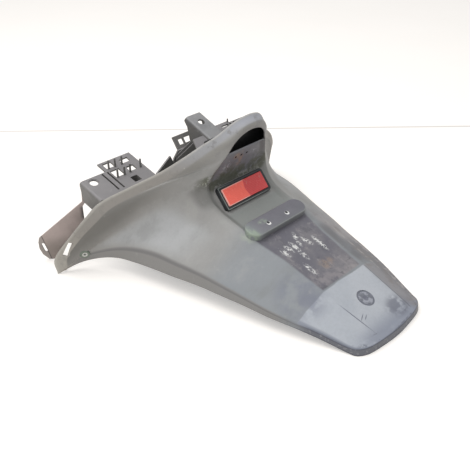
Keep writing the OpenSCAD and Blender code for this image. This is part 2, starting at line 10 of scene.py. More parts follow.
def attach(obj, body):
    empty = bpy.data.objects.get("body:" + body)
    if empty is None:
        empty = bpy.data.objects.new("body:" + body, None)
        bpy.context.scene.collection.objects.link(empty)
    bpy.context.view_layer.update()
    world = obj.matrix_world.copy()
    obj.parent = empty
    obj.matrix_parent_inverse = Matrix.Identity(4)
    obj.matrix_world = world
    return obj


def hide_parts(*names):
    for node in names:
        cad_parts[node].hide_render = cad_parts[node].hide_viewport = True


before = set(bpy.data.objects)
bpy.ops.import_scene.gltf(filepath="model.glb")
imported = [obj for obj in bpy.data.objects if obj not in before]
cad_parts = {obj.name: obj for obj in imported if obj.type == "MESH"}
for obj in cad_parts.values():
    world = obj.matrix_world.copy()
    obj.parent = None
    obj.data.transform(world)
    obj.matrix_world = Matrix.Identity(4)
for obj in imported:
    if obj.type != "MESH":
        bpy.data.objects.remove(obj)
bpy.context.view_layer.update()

# Sizes of the fender in millimetres, with y = 0 at the corners of the tongue
WALL = 3.0
END_Y = -21.0
ARM_BACK = np.array([189.0, 447.0])
ARM_TIP = np.array([248.5, 499.0])
ARM_TURN = atan2(ARM_TIP[1] - ARM_BACK[1], ARM_TIP[0] - ARM_BACK[0])
ARM_LENGTH = float(np.hypot(*(ARM_TIP - ARM_BACK)))
PLATE_T = 3.0
SHIFT = np.array([0, -(ARM_TIP[1] + PLATE_T * cos(ARM_TURN) + END_Y) / 2, 0])
PLATE_SLOPE, PANEL_SLOPE, PANEL_Y, PANEL_Z = 16.0, 20.0, 79.0, 47.6
RIM_HEIGHT, END_HALF = 12.0, 82.0
DECK_Y, DECK_Z, DECK_SLOPE = 399.0, 127.0, 14.0
SADDLE_Y, SADDLE_Z, SADDLE_SLOPE, SADDLE_HALF = 392.0, 211.0, 20.0, 17.5
SEAT_Y, SEAT_Z, SEAT_SLOPE, SEAT_RISE = 283.4, 114.4, 49.0, 1.2
REFLECTOR_HALF_X, REFLECTOR_HALF_Y, LENS_INSET = 50.0, 20.0, 5.65
WING_SCREW, WING_SCREW_WAY = np.array([214.693, 419.041, 32.937]), [0.501, -0.8348, -0.2284]
SCREW_BORE, BOSS_RISE = 2.5, 1.2
PAD_Y, PAD_HEIGHT, PAD_HALF_X, PAD_HALF_Y = 210.4, 11.0, 63.0, 16.0
PAD_ROUND, PAD_BORES_X = 2.2, (-21.0, 21.0)
LIP_SLOT, LIP_SLOT_LEAN, LIP_SLOT_SHAPE = np.array([235.6, 433.0, 46.5]), 14.0, (-3.25, -13.5, 6.5, 27.0)
LAMP_HOLES_AT, LAMP_HOLE_X, LAMP_HOLE_R, LAMP_SLOPE = (285.4, 175.6), 12.1, 1.6, 106
MARK_Y, MARK_R = 39.0, 13.5
HALF_WIDTH = 252.0
MIRROR = np.array([-1.0, 1.0, 1.0])
# Finish of edges and surfaces: gaps closed when pieces are joined and when they are done, in metres,
# and, in degrees, the bend that still counts as flat and the bends that still look smooth: on the
# skin and its screws, on the bevelled brackets and on the reflector
JOIN_GAP, DONE_GAP, FLAT_ANGLE, SMOOTH_ANGLE, BRACKET_ANGLE, REFLECTOR_ANGLE = 1e-7, 1e-6, 0.6, 32, 35, 30


def unit(v):
    return v / np.maximum(np.linalg.norm(v, axis=-1, keepdims=True), 1e-9)


def strip_z(y):
    """Height of the tongue's flat middle: 20 degrees up to the panel's edge, then 16."""
    y = np.asarray(y, float)
    slopes = [tan(radians(slope)) for slope in (PANEL_SLOPE, PLATE_SLOPE)]
    return PANEL_Z + (y - PANEL_Y) * np.where(y < PANEL_Y, *slopes)


# Spokes of the outer face, from the middle of the tongue's end round to the middle of the hood.
# Each row is the start on the inner outline, the push of its middle, the shoulder and the free edge.
def end_spoke(x, y, shoulder, foot):
    """Round the tongue's end: shoulder and foot are shares of the half width, a y, and shares of the rim."""
    return [[x, y, float(strip_z(y))], [0, 0, 0.4],
            [END_HALF * shoulder[0], shoulder[1], RIM_HEIGHT * shoulder[2]],
            [END_HALF * foot[0], foot[1], RIM_HEIGHT * foot[2]]]


def tongue_spoke(half, y, rim_x, rim_z, band_x, band_z):
    """Straight out from the tongue's flat middle; its free edge leans forward by 0.15 of its drop."""
    return [[half, y, float(strip_z(y))], [0, 0, 1.5], [rim_x, y, rim_z],
            [band_x, y + (rim_z - band_z) * 0.15, band_z]]


SPOKES = np.array([
    end_spoke(0, -12, [0, -19.5, 1], [0, -21, 0]),
    end_spoke(10.25, -11.5, [0.42, -17.2, 1], [0.44, -18.4, 0]),
    end_spoke(20.5, -10, [0.74, -12.5, 0.95], [0.76, -13.8, 0]),
    end_spoke(30.75, -7, [0.92, -3.5, 0.9], [0.94, -4.5, 0]),
    end_spoke(41, -2, [0.99, 8, 0.9], [1, 8, 0.1]),
    tongue_spoke(42, 26, 87, 14, 88.5, 6),
    tongue_spoke(44, 52, 95, 19.5, 96.5, 11),
    tongue_spoke(46, 80, 104, 24, 105.5, 15),
    tongue_spoke(48, 120, 114.5, 29.5, 116.5, 18),
    tongue_spoke(51, 160, 122.5, 36, 125.5, 22),
    tongue_spoke(56, 195, 130, 42.5, 134, 24.5),
    [[61, 224, 94], [0, 0, 0], [138, 236, 49], [142, 238, 26]],
    [[61, 243, 99], [0, 0, 0], [148, 275, 54], [153, 278, 27]],
    [[62, 260, 104], [0, -1, 1], [157, 312, 58], [162, 315, 28]],
    [[63, 273, 110], [0, -4, 2], [167, 345, 56], [171, 350, 28]],
    [[65, 285, 120], [0, -5, 6], [180, 375, 50], [181, 380, 27]],
    [[66.5, 292, 132], [0, -6, 9], [196, 402, 40], [197, 405, 23]],
    [[66, 294, 142], [0, -5, 12], [216, 424, 28], [219, 431, 12]],
    [[64, 293, 149], [0, 1, 16], [240, 436, 12], [252, 446, 0]],
    [[61, 290, 156], [0, 4, 12], [238, 433, 32], [250.5, 452, 25]],
    [[58, 288, 162], [0, 6, 7], [222, 416, 64], [234, 423, 71]],
    [[55, 285.5, 168], [0, 7, 3], [201, 399, 92], [212, 407, 103]],
    [[52, 283, 173], [0, 6, 0], [179, 387, 113], [189, 398, 124]],
    [[49.5, 280.5, 178], [0, 4, -1], [144, 364, 133], [150, 372, 145]],
    [[46.5, 278, 184], [0, 3, -2], [107, 338, 152], [112, 346, 165]],
    [[43, 275, 190], [0, 1, -1], [83, 310, 179], [86, 318, 191]],
    [[39, 271.5, 200], [0, -1, 1], [66, 295, 196], [68, 303, 207]],
    [[32, 267, 212], [0, -3, 2], [48, 280, 214], [50, 288, 222]],
    [[18, 263.5, 222], [0, -4, 3], [25, 269, 234], [26, 276, 240]],
    [[0, 263, 225], [0, -4, 3], [0, 265, 239], [0, 272, 246]],
], float)
WING_TIP = 18
# Middle line of the recess as y and z, one point for each spoke from the eleventh
RECESS = np.array([[y, float(strip_z(y))] for y in (195, 225, 244, 259)] + [
    [267.5, 101.5], [277, 108], [289, 121.5], [297, 130.5], [298.5, 137], [296.5, 146],
    [293.5, 155], [290.5, 162.5], [287.5, 170], [285, 176], [283, 181.5], [281, 187]], float)
FIRST_RECESS, CORNER = 10, 4
TOP = FIRST_RECESS + len(RECESS) - 1
# Share of the strip's half width where its side walls begin
WALL_FOOT = 0.82
# Radius of the shoulder at a few spokes: crisp on the tongue, softer on the wing and the hood
SHOULDER_AT = [0, 9, 14, 18, 22, 26, 29]
SHOULDER_R = [1.8, 2.2, 3.5, 3.0, 4.0, 4.5, 5.0]
# Rows between two spokes, and points along the main part, the shoulder and the rim of each
PER = 7
MAIN_STEPS, ROUND_STEPS, BAND_STEPS = 30, 5, 4
# The mark called down is 1 where the shoulder begins, this where it ends and 2 at the free edge
ROUND_DOWN = 1.15
# Bulge of the free edge and of the mouth's edge, the most of the rim that its shoulder may take,
# the wall's share at the shoulder and the inner shoulder's share of the outer radius
EDGE, MOUTH_EDGE, MOST_OF_RIM, SHOULDER_WALL, INNER_ROUND = 1.3, 1.2, 0.45, 1.15, 0.6
# Spokes over which the strip's first rows lose the bow of the tongue's end, and rows of flat tongue
BOW_SPOKES, FLAT_SPOKES = 1.3, 6


# Grids and meshes
def smooth_rows(keys, before, after, per, corner=None):
    """Curve through a, b, c, d in turn: (2b + (c-a)t + (2a-5b+4c-d)t^2 + (3b-3c+d-a)t^3) / 2."""
    run = np.concatenate([[before], keys, [after]])
    a, b, c, d = run[:-3].copy(), run[1:-2], run[2:-1], run[3:].copy()
    if corner is not None:
        d[corner - 1] = 2 * c[corner - 1] - b[corner - 1]
        a[corner] = 2 * b[corner] - c[corner]
    t = (np.arange(per) / per).reshape((1, per) + (1,) * (keys.ndim - 1))
    a, b, c, d = a[:, None], b[:, None], c[:, None], d[:, None]
    rows = 0.5 * (2 * b + (c - a) * t + (2 * a - 5 * b + 4 * c - d) * t**2 + (3 * (b - c) + d - a) * t**3)
    return np.concatenate([rows.reshape((-1,) + keys.shape[1:]), keys[-1:]])


def profiles(spokes, radius):
    """Each spoke from its start A by its pushed middle to the shoulder Q, round Q, then down to B.
    Main part A + (Q-A)t + 4t(1-t)push; round part a parabola with its corner at Q."""
    a, push, q, b = (spokes[:, k, None] for k in range(4))
    share = (radius / np.linalg.norm(spokes[:, 2] - spokes[:, 0], axis=-1))[:, None, None]
    fall = radius / np.linalg.norm(spokes[:, 3] - spokes[:, 2], axis=-1)
    fall = np.minimum(fall, MOST_OF_RIM)[:, None, None]
    b = b - unit(b - q) * EDGE

    def main(t):
        return a + (q - a) * t + 4 * t * (1 - t) * push

    t = np.linspace(0, 1, MAIN_STEPS)[None, :, None] * (1 - share)
    s = np.linspace(0, 1, ROUND_STEPS + 1)[1:][None, :, None]
    start, end = main(1 - share), q + (b - q) * fall
    curve = start * (1 - s) ** 2 + 2 * q * s * (1 - s) + end * s**2
    down = end + (b - end) * np.linspace(0, 1, BAND_STEPS + 1)[1:][None, :, None]
    grid = np.concatenate([main(t), curve, down], axis=1)
    grid[..., 2] = np.maximum(grid[..., 2], 0)
    grid[..., 0] = np.minimum(grid[..., 0], HALF_WIDTH)
    return grid


def whole_ring(half):
    """The half grid followed by its mirror image, back to the start."""
    return np.concatenate([half, (half * MIRROR)[-2:0:-1]])


def grid_faces(ids):
    """Four-sided faces between neighbours in rows and columns of point numbers."""
    return np.stack([ids[:-1, :-1], ids[1:, :-1], ids[1:, 1:], ids[:-1, 1:]], -1).reshape(-1, 4)


def grid_normals(grid, closed):
    """Cross product of the two directions of a grid of points."""
    along = np.roll(grid, -1, 0) - np.roll(grid, 1, 0) if closed else np.gradient(grid, axis=0)
    return unit(np.cross(np.gradient(grid, axis=1), along))


def in_frame(points):
    """Millimetres of the drawing as metres of the shared frame."""
    return (np.asarray(points, float) + SHIFT) / 1000


def new_object(name, points, faces, marks=None):
    """A mesh object in the shared frame, with one number a point for each of its marks."""
    mesh = bpy.data.meshes.new(name)
    mesh.from_pydata(in_frame(points).tolist(), [], [list(map(int, f)) for f in faces])
    mesh.validate()
    for mark, values in (marks or {}).items():
        mesh.attributes.new(mark, "FLOAT", "POINT").data.foreach_set("value", np.asarray(values, np.float32))
    piece = bpy.data.objects.new(name, mesh)
    bpy.context.scene.collection.objects.link(piece)
    return piece


def build_skin():
    """The moulded skin: outer ring and middle strip, an inner face set in by the wall, and round rims.
    The strip's rows go straight across and lift to the ring near their ends by 3f^2 - 2f^3."""
    n = PER * (len(SPOKES) - 1)
    ends = PER * CORNER
    front = np.arange(-ends, ends + 1)
    radius = np.interp(np.arange(n + 1) / PER, SHOULDER_AT, SHOULDER_R)
    half = profiles(smooth_rows(SPOKES, SPOKES[1] * MIRROR, SPOKES[-2] * MIRROR, PER, WING_TIP), radius)
    ring = whole_ring(half)

    rows, cols = PER * (TOP - CORNER), 2 * ends
    u = np.linspace(-1, 1, cols + 1)[None, :]
    start = half[ends:ends + rows + 1, 0]
    middle = start[:, 1:].copy()
    recess = smooth_rows(RECESS, RECESS[0], RECESS[-1], PER)
    first = PER * (FIRST_RECESS - CORNER)
    middle[first:] = recess[:rows + 1 - first]
    foot = np.maximum(0, (np.abs(u) - WALL_FOOT) / (1 - WALL_FOOT))
    rise = (foot**2 * (3 - 2 * foot))[..., None]
    yz = middle[:, None] + (start[:, None, 1:] - middle[:, None]) * rise
    strip = np.concatenate([(u * start[:, :1])[..., None], yz], -1)
    bow = ring[front, 0]
    fade = np.clip(1 - np.arange(rows + 1) / (BOW_SPOKES * PER), 0, 1)[:, None] ** 2
    strip[..., 1] += (bow[:, 1] - strip[0, :, 1])[None] * fade
    flat = np.arange(rows + 1) < PER * FLAT_SPOKES
    strip[flat, :, 2] = strip_z(strip[flat, :, 1])
    strip[0], strip[:, 0], strip[:, -1] = bow, start * MIRROR, start

    ring_way = grid_normals(ring, True)
    strip_way = grid_normals(strip, False)
    shoulder = MAIN_STEPS + ROUND_STEPS // 2
    at = np.arange(len(SPOKES)) * PER
    at_start = ring_way[at, 0]
    joined = (at >= ends) & (at <= ends + rows)
    at_start[joined] = unit(at_start[joined] + strip_way[at[joined] - ends, -2])
    at_start[:CORNER] = unit(at_start[:CORNER] + strip_way[1, ends + at[:CORNER]])
    inner_keys = SPOKES.copy()
    inner_keys[:, 0] -= WALL * at_start
    inner_keys[:, 2] -= SHOULDER_WALL * WALL * ring_way[at, shoulder]
    inner_keys[:, 3] -= WALL * ring_way[at, -1]
    inner_keys[[0, -1], :, 0] = 0
    inner_fine = smooth_rows(inner_keys, inner_keys[1] * MIRROR, inner_keys[-2] * MIRROR, PER, WING_TIP)
    inner_half = profiles(inner_fine, radius * INNER_ROUND)
    inner_ring = whole_ring(inner_half)
    inner_strip = strip - WALL * strip_way
    inner_strip[0] = inner_ring[front, 0]
    inner_strip[:, -1] = inner_half[ends:ends + rows + 1, 0]
    inner_strip[:, 0] = inner_strip[:, -1] * MIRROR

    count, steps = ring.shape[:2]
    ring_ids = np.arange(count * steps).reshape(count, steps)
    strip_inside = np.arange(rows * (cols - 1)).reshape(rows, cols - 1) + count * steps
    strip_ids = np.zeros((rows + 1, cols + 1), int)
    strip_ids[0] = ring_ids[front, 0]
    strip_ids[:, 0] = ring_ids[-(ends + np.arange(rows + 1)), 0]
    strip_ids[:, -1] = ring_ids[ends + np.arange(rows + 1), 0]
    strip_ids[1:, 1:-1] = strip_inside
    points = np.concatenate([ring.reshape(-1, 3), strip[1:, 1:-1].reshape(-1, 3)])
    run = np.arange(count)
    ring_spoke = np.minimum(run, count - run)[:, None] / PER + np.zeros(steps)
    legs = ((0, 1, MAIN_STEPS), (1, ROUND_DOWN, ROUND_STEPS + 1), (ROUND_DOWN, 2, BAND_STEPS + 1))
    ring_down = np.concatenate([np.linspace(*leg)[k > 0:] for k, leg in enumerate(legs)])
    ring_down = ring_down + np.zeros((count, 1))
    strip_spoke = CORNER + np.arange(1, rows + 1)[:, None] / PER + np.zeros(cols - 1)
    strip_down = np.abs(u[:, 1:-1]) - 1 + np.zeros((rows, 1))
    spoke = np.concatenate([ring_spoke.ravel(), strip_spoke.ravel()])
    down = np.concatenate([ring_down.ravel(), strip_down.ravel()])
    inner = np.concatenate([inner_ring.reshape(-1, 3), inner_strip[1:, 1:-1].reshape(-1, 3)])
    layer = len(points)
    whole_ids = np.concatenate([ring_ids, ring_ids[:1]])
    outer_faces = np.concatenate([grid_faces(whole_ids), grid_faces(strip_ids)])
    points = np.concatenate([points, inner])
    spoke, down, inside = np.tile(spoke, 2), np.tile(down, 2), np.repeat([0.0, 1.0], layer)
    faces = [outer_faces, outer_faces[:, ::-1] + layer]

    # Round rims: each goes from the outer to the inner edge over half an ellipse
    mouth = np.concatenate([strip_ids[-1, :-1], ring_ids[ends + rows:count - ends - rows, 0]])
    mouth_way = np.concatenate([unit(strip[-1] - strip[-2])[:-1],
                                unit(ring[:, 0] - ring[:, 1])[ends + rows:count - ends - rows]])
    free_way = unit(ring[:, -1] - ring[:, -2])
    turn = np.pi * np.arange(1, 4) / 4
    for ids, way, bulge, turned in ((ring_ids[:, -1], free_way, EDGE, False),
                                    (mouth, mouth_way, MOUTH_EDGE, True)):
        a, b = points[ids], points[ids + layer]
        arc = ((a + b) / 2)[:, None] + ((a - b) / 2)[:, None] * np.cos(turn)[None, :, None] \
            + (way * bulge)[:, None] * np.sin(turn)[None, :, None]
        arc[..., 2] = np.maximum(arc[..., 2], 0)
        arc[..., 0] = np.clip(arc[..., 0], -HALF_WIDTH, HALF_WIDTH)
        new = len(points) + np.arange(arc.shape[0] * 3).reshape(-1, 3)
        points = np.concatenate([points, arc.reshape(-1, 3)])
        spoke, down = (np.concatenate([v, np.repeat(v[ids], 3)]) for v in (spoke, down))
        inside = np.concatenate([inside, np.tile([0.25, 0.5, 0.75], len(ids))])
        band = np.concatenate([ids[:, None], new, ids[:, None] + layer], axis=1)
        band = np.concatenate([band, band[:1]])
        faces.append(grid_faces(band)[:, ::-1] if turned else grid_faces(band))
    marks = {"spoke": spoke, "down": down, "inside": inside, "kept": np.ones(len(points))}
    return points, np.concatenate(faces)[:, ::-1], marks, (half + inner_half) / 2


def merged(name, pieces, operation="UNION"):
    """The first piece with the others added, cut away or kept in common, as one closed surface."""
    first = pieces[0]
    for other in pieces[1:]:
        step = first.modifiers.new("shape", "BOOLEAN")
        step.operation = operation
        step.solver = "MANIFOLD"
        step.object = other
    bpy.context.view_layer.update()
    mesh = bpy.data.meshes.new_from_object(first.evaluated_get(bpy.context.evaluated_depsgraph_get()))
    first.modifiers.clear()
    first.data = mesh
    first.name = mesh.name = name
    for other in pieces[1:]:
        bpy.data.objects.remove(other)
    return first


def refill(piece, names):
    """Points made by the cuts take the marks of the nearest point that was there before."""
    mesh = piece.data
    count = len(mesh.vertices)
    place, kept = np.zeros(count * 3), np.zeros(count)
    mesh.vertices.foreach_get("co", place)
    place = place.reshape(-1, 3)
    mesh.attributes["kept"].data.foreach_get("value", kept)
    old, new = np.flatnonzero(kept > 0.99), np.flatnonzero(kept <= 0.99)
    nearest = [old[np.argmin(((place[old] - place[k]) ** 2).sum(1))] for k in new]
    for name in names:
        values = np.zeros(count)
        mesh.attributes[name].data.foreach_get("value", values)
        values[new] = values[nearest]
        mesh.attributes[name].data.foreach_set("value", values)
    mesh.attributes.remove(mesh.attributes["kept"])


def prism(outline, low, high, place, holes=()):
    """Closed plate: an outline with its holes, from low to high, put in its place."""
    loops = [np.asarray(loop, float) for loop in (outline, *holes)]
    flat = np.concatenate(loops)
    caps = [list(t) for t in tessellate_polygon([[Vector((x, y, 0)) for x, y in loop] for loop in loops])]
    count = len(flat)
    faces, base = [], 0
    for k, loop in enumerate(loops):
        ids = base + np.arange(len(loop))
        after = np.roll(ids, -1)
        side = np.stack([ids, after, after + count, ids + count], 1)
        following = np.roll(loop, -1, 0)
        left_round = np.sum(loop[:, 0] * following[:, 1] - loop[:, 1] * following[:, 0]) > 0
        if left_round == (k > 0):
            side = side[:, ::-1]
        faces += side.tolist()
        base += len(loop)
    for cap in caps:
        a, b, c = flat[cap]
        upward = (b[0] - a[0]) * (c[1] - a[1]) - (b[1] - a[1]) * (c[0] - a[0]) > 0
        cap = cap if upward else cap[::-1]
        faces += [[k + count for k in cap], cap[::-1]]
    points = np.concatenate([np.column_stack([flat, np.full(count, z)]) for z in (low, high)])
    return new_object("plate", place(points), faces)


def on_slope(y, z, slope):
    """Place of a plate drawn in plan on a slope through (y, z): its z axis is the slope's normal."""
    c, s = cos(radians(slope)), sin(radians(slope))
    return lambda p: np.column_stack([p[:, 0], y + (p[:, 1] - y) - p[:, 2] * s,
                                      z + (p[:, 1] - y) * s / c + p[:, 2] * c])


def along_slope(y, z, slope):
    """Place of a section drawn as x and height and carried along a slope; its z axis is plan y."""
    c, s = cos(radians(slope)), sin(radians(slope))
    return lambda p: np.column_stack([p[:, 0], p[:, 2] - p[:, 1] * s, z + (p[:, 2] - y) * s / c + p[:, 1] * c])


def tilted(y, z, slope):
    """Place of a form drawn on a sloped plane through (0, y, z): y + v cos - w sin, z + v sin + w cos."""
    c, s = cos(radians(slope)), sin(radians(slope))
    return lambda p: np.column_stack([p[:, 0], y + p[:, 1] * c - p[:, 2] * s, z + p[:, 1] * s + p[:, 2] * c])


def upright(origin, turn):
    """Place of a plate drawn as length and height, standing in plan at an angle; its z axis points right."""
    c, s = cos(turn), sin(turn)
    ox, oy, oz = origin
    return lambda p: np.column_stack([ox + p[:, 0] * c + p[:, 2] * s, oy + p[:, 0] * s - p[:, 2] * c,
                                      oz + p[:, 1]])


def across(y):
    """Place of a plate drawn as x and z, standing across the machine with its front face at y."""
    return lambda p: np.column_stack([p[:, 0], y - p[:, 2], p[:, 1]])


def side_on(p):
    """Place of a plate drawn as y and z; its z axis points right."""
    return p[:, [2, 0, 1]]


def at_point(point, direction):
    """Place of a form drawn on a point, with its z axis in the direction and x level."""
    n = unit(np.asarray(direction, float))
    side = unit(np.cross([0, 0, 1.0], n))
    axes = np.array([side, np.cross(n, side), n])
    return lambda p: point + p @ axes


def as_drawn(place):
    return place


def mirrored(place):
    return lambda p: place(p) * MIRROR


def both(build):
    """A form and its mirror image; build takes a change of place."""
    return [build(as_drawn), build(mirrored)]


def box_loop(x, y, w, d):
    """A rectangle from its corner (x, y), w wide and d deep."""
    return [(x, y), (x + w, y), (x + w, y + d), (x, y + d)]


def with_mirror(right):
    """An outline's right half, then its mirror image without the points on the middle line."""
    return right + [(-x, y) for x, y in reversed(right) if x]


def capped_rows(grid, place):
    """Rows of points, each a closed loop, joined into one surface with a face at each end."""
    rows, count = grid.shape[:2]
    ids = np.arange(rows * count).reshape(rows, count)
    faces = grid_faces(np.concatenate([ids, ids[:, :1]], axis=1))[:, ::-1].tolist()
    faces += [ids[0][::-1].tolist(), ids[-1].tolist()]
    return new_object("form", place(grid.reshape(-1, 3)), faces)


def turned_form(profile, place, steps):
    """A profile of radius and height carried round its own axis: (r cos a, r sin a, h)."""
    profile = np.asarray(profile, float)
    turn = 2 * np.pi * np.arange(steps) / steps
    r, h = profile[:, :1], profile[:, 1:]
    return capped_rows(np.stack([r * np.cos(turn), r * np.sin(turn), h + 0 * turn], -1), place)


def round_bar(radius, low, high, place, steps=24):
    """A plain round bar along its own axis, to cut with or to add."""
    return turned_form([(radius, low), (radius, high)], place, steps)


def rounded_form(half_x, half_y, corner, profile, place, steps=12):
    """A rounded rectangle carried over a profile of inset and height, closed at both ends.
    At inset q each corner's arc is its centre + max(corner - q, 0.05) (cos a, sin a)."""
    turn = np.concatenate([np.linspace(k * 90, k * 90 + 90, steps) for k in range(4)]) * np.pi / 180
    sx = np.repeat([1, -1, -1, 1], steps)
    sy = np.repeat([1, 1, -1, -1], steps)
    grid = []
    for inset, height in profile:
        r = max(corner - inset, 0.05)
        cx, cy = half_x - inset - r, half_y - inset - r
        grid.append(np.column_stack([sx * cx + r * np.cos(turn), sy * cy + r * np.sin(turn),
                                     np.full(len(turn), height)]))
    return capped_rows(np.array(grid), place)


def cleaned(piece, gap, flat_angle=None):
    """Seams closed, flat faces made whole again where asked, and all faces turned outward."""
    work = bmesh.new()
    work.from_mesh(piece.data)
    bmesh.ops.remove_doubles(work, verts=work.verts, dist=gap)
    if flat_angle:
        bmesh.ops.dissolve_limit(work, angle_limit=radians(flat_angle), verts=work.verts, edges=work.edges)
    bmesh.ops.recalc_face_normals(work, faces=work.faces)
    work.to_mesh(piece.data)
    work.free()


def facing_out(pieces):
    """The pieces made ready to be joined and cut."""
    for piece in pieces:
        cleaned(piece, JOIN_GAP)
    return pieces


def round_arc(x, y, r, start, end, steps=7):
    """Points on an arc round (x, y), from one angle to another in degrees."""
    turn = np.radians(np.linspace(start, end, steps))
    return np.column_stack([x + r * np.cos(turn), y + r * np.sin(turn)]).tolist()


def finish_edges(piece, width, angle):
    """Flat faces made whole again, then a small bevel of the width along edges sharper than the angle."""
    cleaned(piece, DONE_GAP, FLAT_ANGLE)
    if width:
        bevel = piece.modifiers.new("edges", "BEVEL")
        bevel.width = width / 1000
        bevel.segments = 2
        bevel.limit_method = "ANGLE"
        bevel.angle_limit = radians(angle)
        bevel.use_clamp_overlap = True
    shade(piece, angle)


def shade(piece, angle):
    """Smooth shading, with edges sharper than the angle kept."""
    piece.data.polygons.foreach_set("use_smooth", np.ones(len(piece.data.polygons), bool))
    piece.data.set_sharp_from_angle(angle=radians(angle))


def dress(piece, node, material):
    """The piece's material; the CAD node that it stands for is hidden."""
    piece.data.materials.clear()
    piece.data.materials.append(material)
    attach(piece, "root")
    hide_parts(node)


# Materials
def node_of(tree, kind, **values):
    node = tree.nodes.new(kind)
    for key, value in values.items():
        setattr(node, key, value)
    return node


def linear(colour):
    """A colour written as it shows, as the linear values that the shader takes."""
    return [c / 12.92 if c <= 0.04045 else ((c + 0.055) / 1.055) ** 2.4 for c in colour] + [1]


class Shade:
    """Short ways to place and join the nodes of one material or group, which reads one vector."""

    def __init__(self, tree, where):
        self.tree, self.where = tree, where

    def link(self, a, b):
        self.tree.links.new(a, b)

    def give(self, socket, given):
        """An output, a colour as it shows or a number, put on an input."""
        if hasattr(given, "is_linked"):
            self.link(given, socket)
        else:
            socket.default_value = linear(given) if isinstance(given, tuple) else given

    def value(self, operation, a, b=None, c=None, clamp=False):
        node = node_of(self.tree, "ShaderNodeMath", operation=operation, use_clamp=clamp)
        for socket, given in zip(node.inputs, (a, b, c)):
            if given is not None:
                self.give(socket, given)
        return node.outputs[0]

    def split(self, vector):
        node = node_of(self.tree, "ShaderNodeSeparateXYZ")
        self.link(vector, node.inputs[0])
        return node.outputs

    def noise(self, scale, detail, rough, stretch=None):
        vector = self.where
        if stretch:
            turn = node_of(self.tree, "ShaderNodeMapping")
            turn.inputs["Scale"].default_value = stretch
            self.link(vector, turn.inputs["Vector"])
            vector = turn.outputs[0]
        node = node_of(self.tree, "ShaderNodeTexNoise")
        self.link(vector, node.inputs["Vector"])
        for name, given in (("Scale", scale), ("Detail", detail), ("Roughness", rough)):
            node.inputs[name].default_value = given
        return node.outputs["Fac"]

    def step(self, value, low, high):
        """0 below low, 1 above high, smooth between; low above high turns it round."""
        node = node_of(self.tree, "ShaderNodeMapRange", interpolation_type="SMOOTHSTEP")
        self.link(value, node.inputs["Value"])
        ends = (low, high, 0, 1) if low <= high else (high, low, 1, 0)
        for name, given in zip(("From Min", "From Max", "To Min", "To Max"), ends):
            node.inputs[name].default_value = given
        return node.outputs["Result"]

    def window(self, value, low, high, soft):
        """1 between low and high, with soft ends."""
        return self.mask((value, low - soft, low + soft), (value, high + soft, high - soft))

    def joined(self, operation, masks):
        out = masks[0]
        for mask in masks[1:]:
            out = self.value(operation, out, mask)
        return out

    def any(self, *masks):
        return self.joined("MAXIMUM", masks)

    def mask(self, *parts):
        """Parts multiplied. Three values are a step, four are a window, anything else is a mask."""
        made = {3: self.step, 4: self.window}
        return self.joined("MULTIPLY", [made[len(p)](*p) if isinstance(p, tuple) else p for p in parts])

    def mix(self, share, a, b):
        node = node_of(self.tree, "ShaderNodeMix", data_type="RGBA")
        for place, given in ((0, share), (6, a), (7, b)):
            self.give(node.inputs[place], given)
        return node.outputs[2]

    def lay(self, colour, *layers):
        """Layers laid over a colour in turn: each is its mask's parts, then its colour and its share."""
        for *parts, top, share in layers:
            colour = self.mix(self.value("MULTIPLY", self.mask(*parts), share, clamp=True), colour, top)
        return colour

    def blob(self, centre, size, turn=0.0):
        """1 in the middle of an egg-shaped place, 0 outside: 1 - |(p - centre) / size|."""
        node = node_of(self.tree, "ShaderNodeMapping", vector_type="TEXTURE")
        node.inputs["Location"].default_value = in_frame([centre])[0]
        node.inputs["Rotation"].default_value = (0, 0, turn)
        node.inputs["Scale"].default_value = [s / 1000 for s in size]
        self.link(self.where, node.inputs["Vector"])
        length = node_of(self.tree, "ShaderNodeVectorMath", operation="LENGTH")
        self.link(node.outputs[0], length.inputs[0])
        return self.step(length.outputs["Value"], 1.0, 0.35)

    def streaks(self, lines, width):
        """1 along lines on the tongue, each from one x and y to the next, 0 beyond their width."""
        masks = []
        for (x0, y0), (x1, y1) in lines:
            middle = ((x0 + x1) / 2, (y0 + y1) / 2)
            half = 0.5 * float(np.hypot(x1 - x0, y1 - y0)) + width
            masks.append(self.blob((*middle, float(strip_z(middle[1]))), (width, half, STREAK_HEIGHT),
                                   atan2(x0 - x1, y1 - y0)))
        return self.any(*masks)

    def reach(self, x, y, centre):
        """Distance in plan from a centre: the root of the sum of the squares."""
        squares = [self.value("POWER", self.value("SUBTRACT", v, at), 2.0) for v, at in zip((x, y), centre)]
        return self.value("SQRT", self.value("ADD", *squares))

    def mark(self, name):
        """A number kept on the skin's own points."""
        return node_of(self.tree, "ShaderNodeAttribute", attribute_name=name).outputs["Fac"]

    def in_millimetres(self):
        """x, y and z of the drawing, from the object's own coordinates."""
        return [self.value("MULTIPLY_ADD", out, 1000.0, -float(shift))
                for out, shift in zip(self.split(self.where), SHIFT)]

    def upward(self):
        """1 on a face that looks up, 0 on an upright one, -1 on one that looks down."""
        return self.split(node_of(self.tree, "ShaderNodeTexCoord").outputs["Normal"])[2]

    def on_seat(self):
        """x, and the distances up along the reflector's seat and out of it."""
        x, y, z = self.in_millimetres()
        c, n = cos(radians(SEAT_SLOPE)), sin(radians(SEAT_SLOPE))
        y, z = self.value("SUBTRACT", y, SEAT_Y), self.value("SUBTRACT", z, SEAT_Z)
        rise = self.value("ADD", self.value("MULTIPLY", y, c), self.value("MULTIPLY", z, n))
        lift = self.value("SUBTRACT", self.value("MULTIPLY", z, c), self.value("MULTIPLY", y, n))
        return x, rise, lift


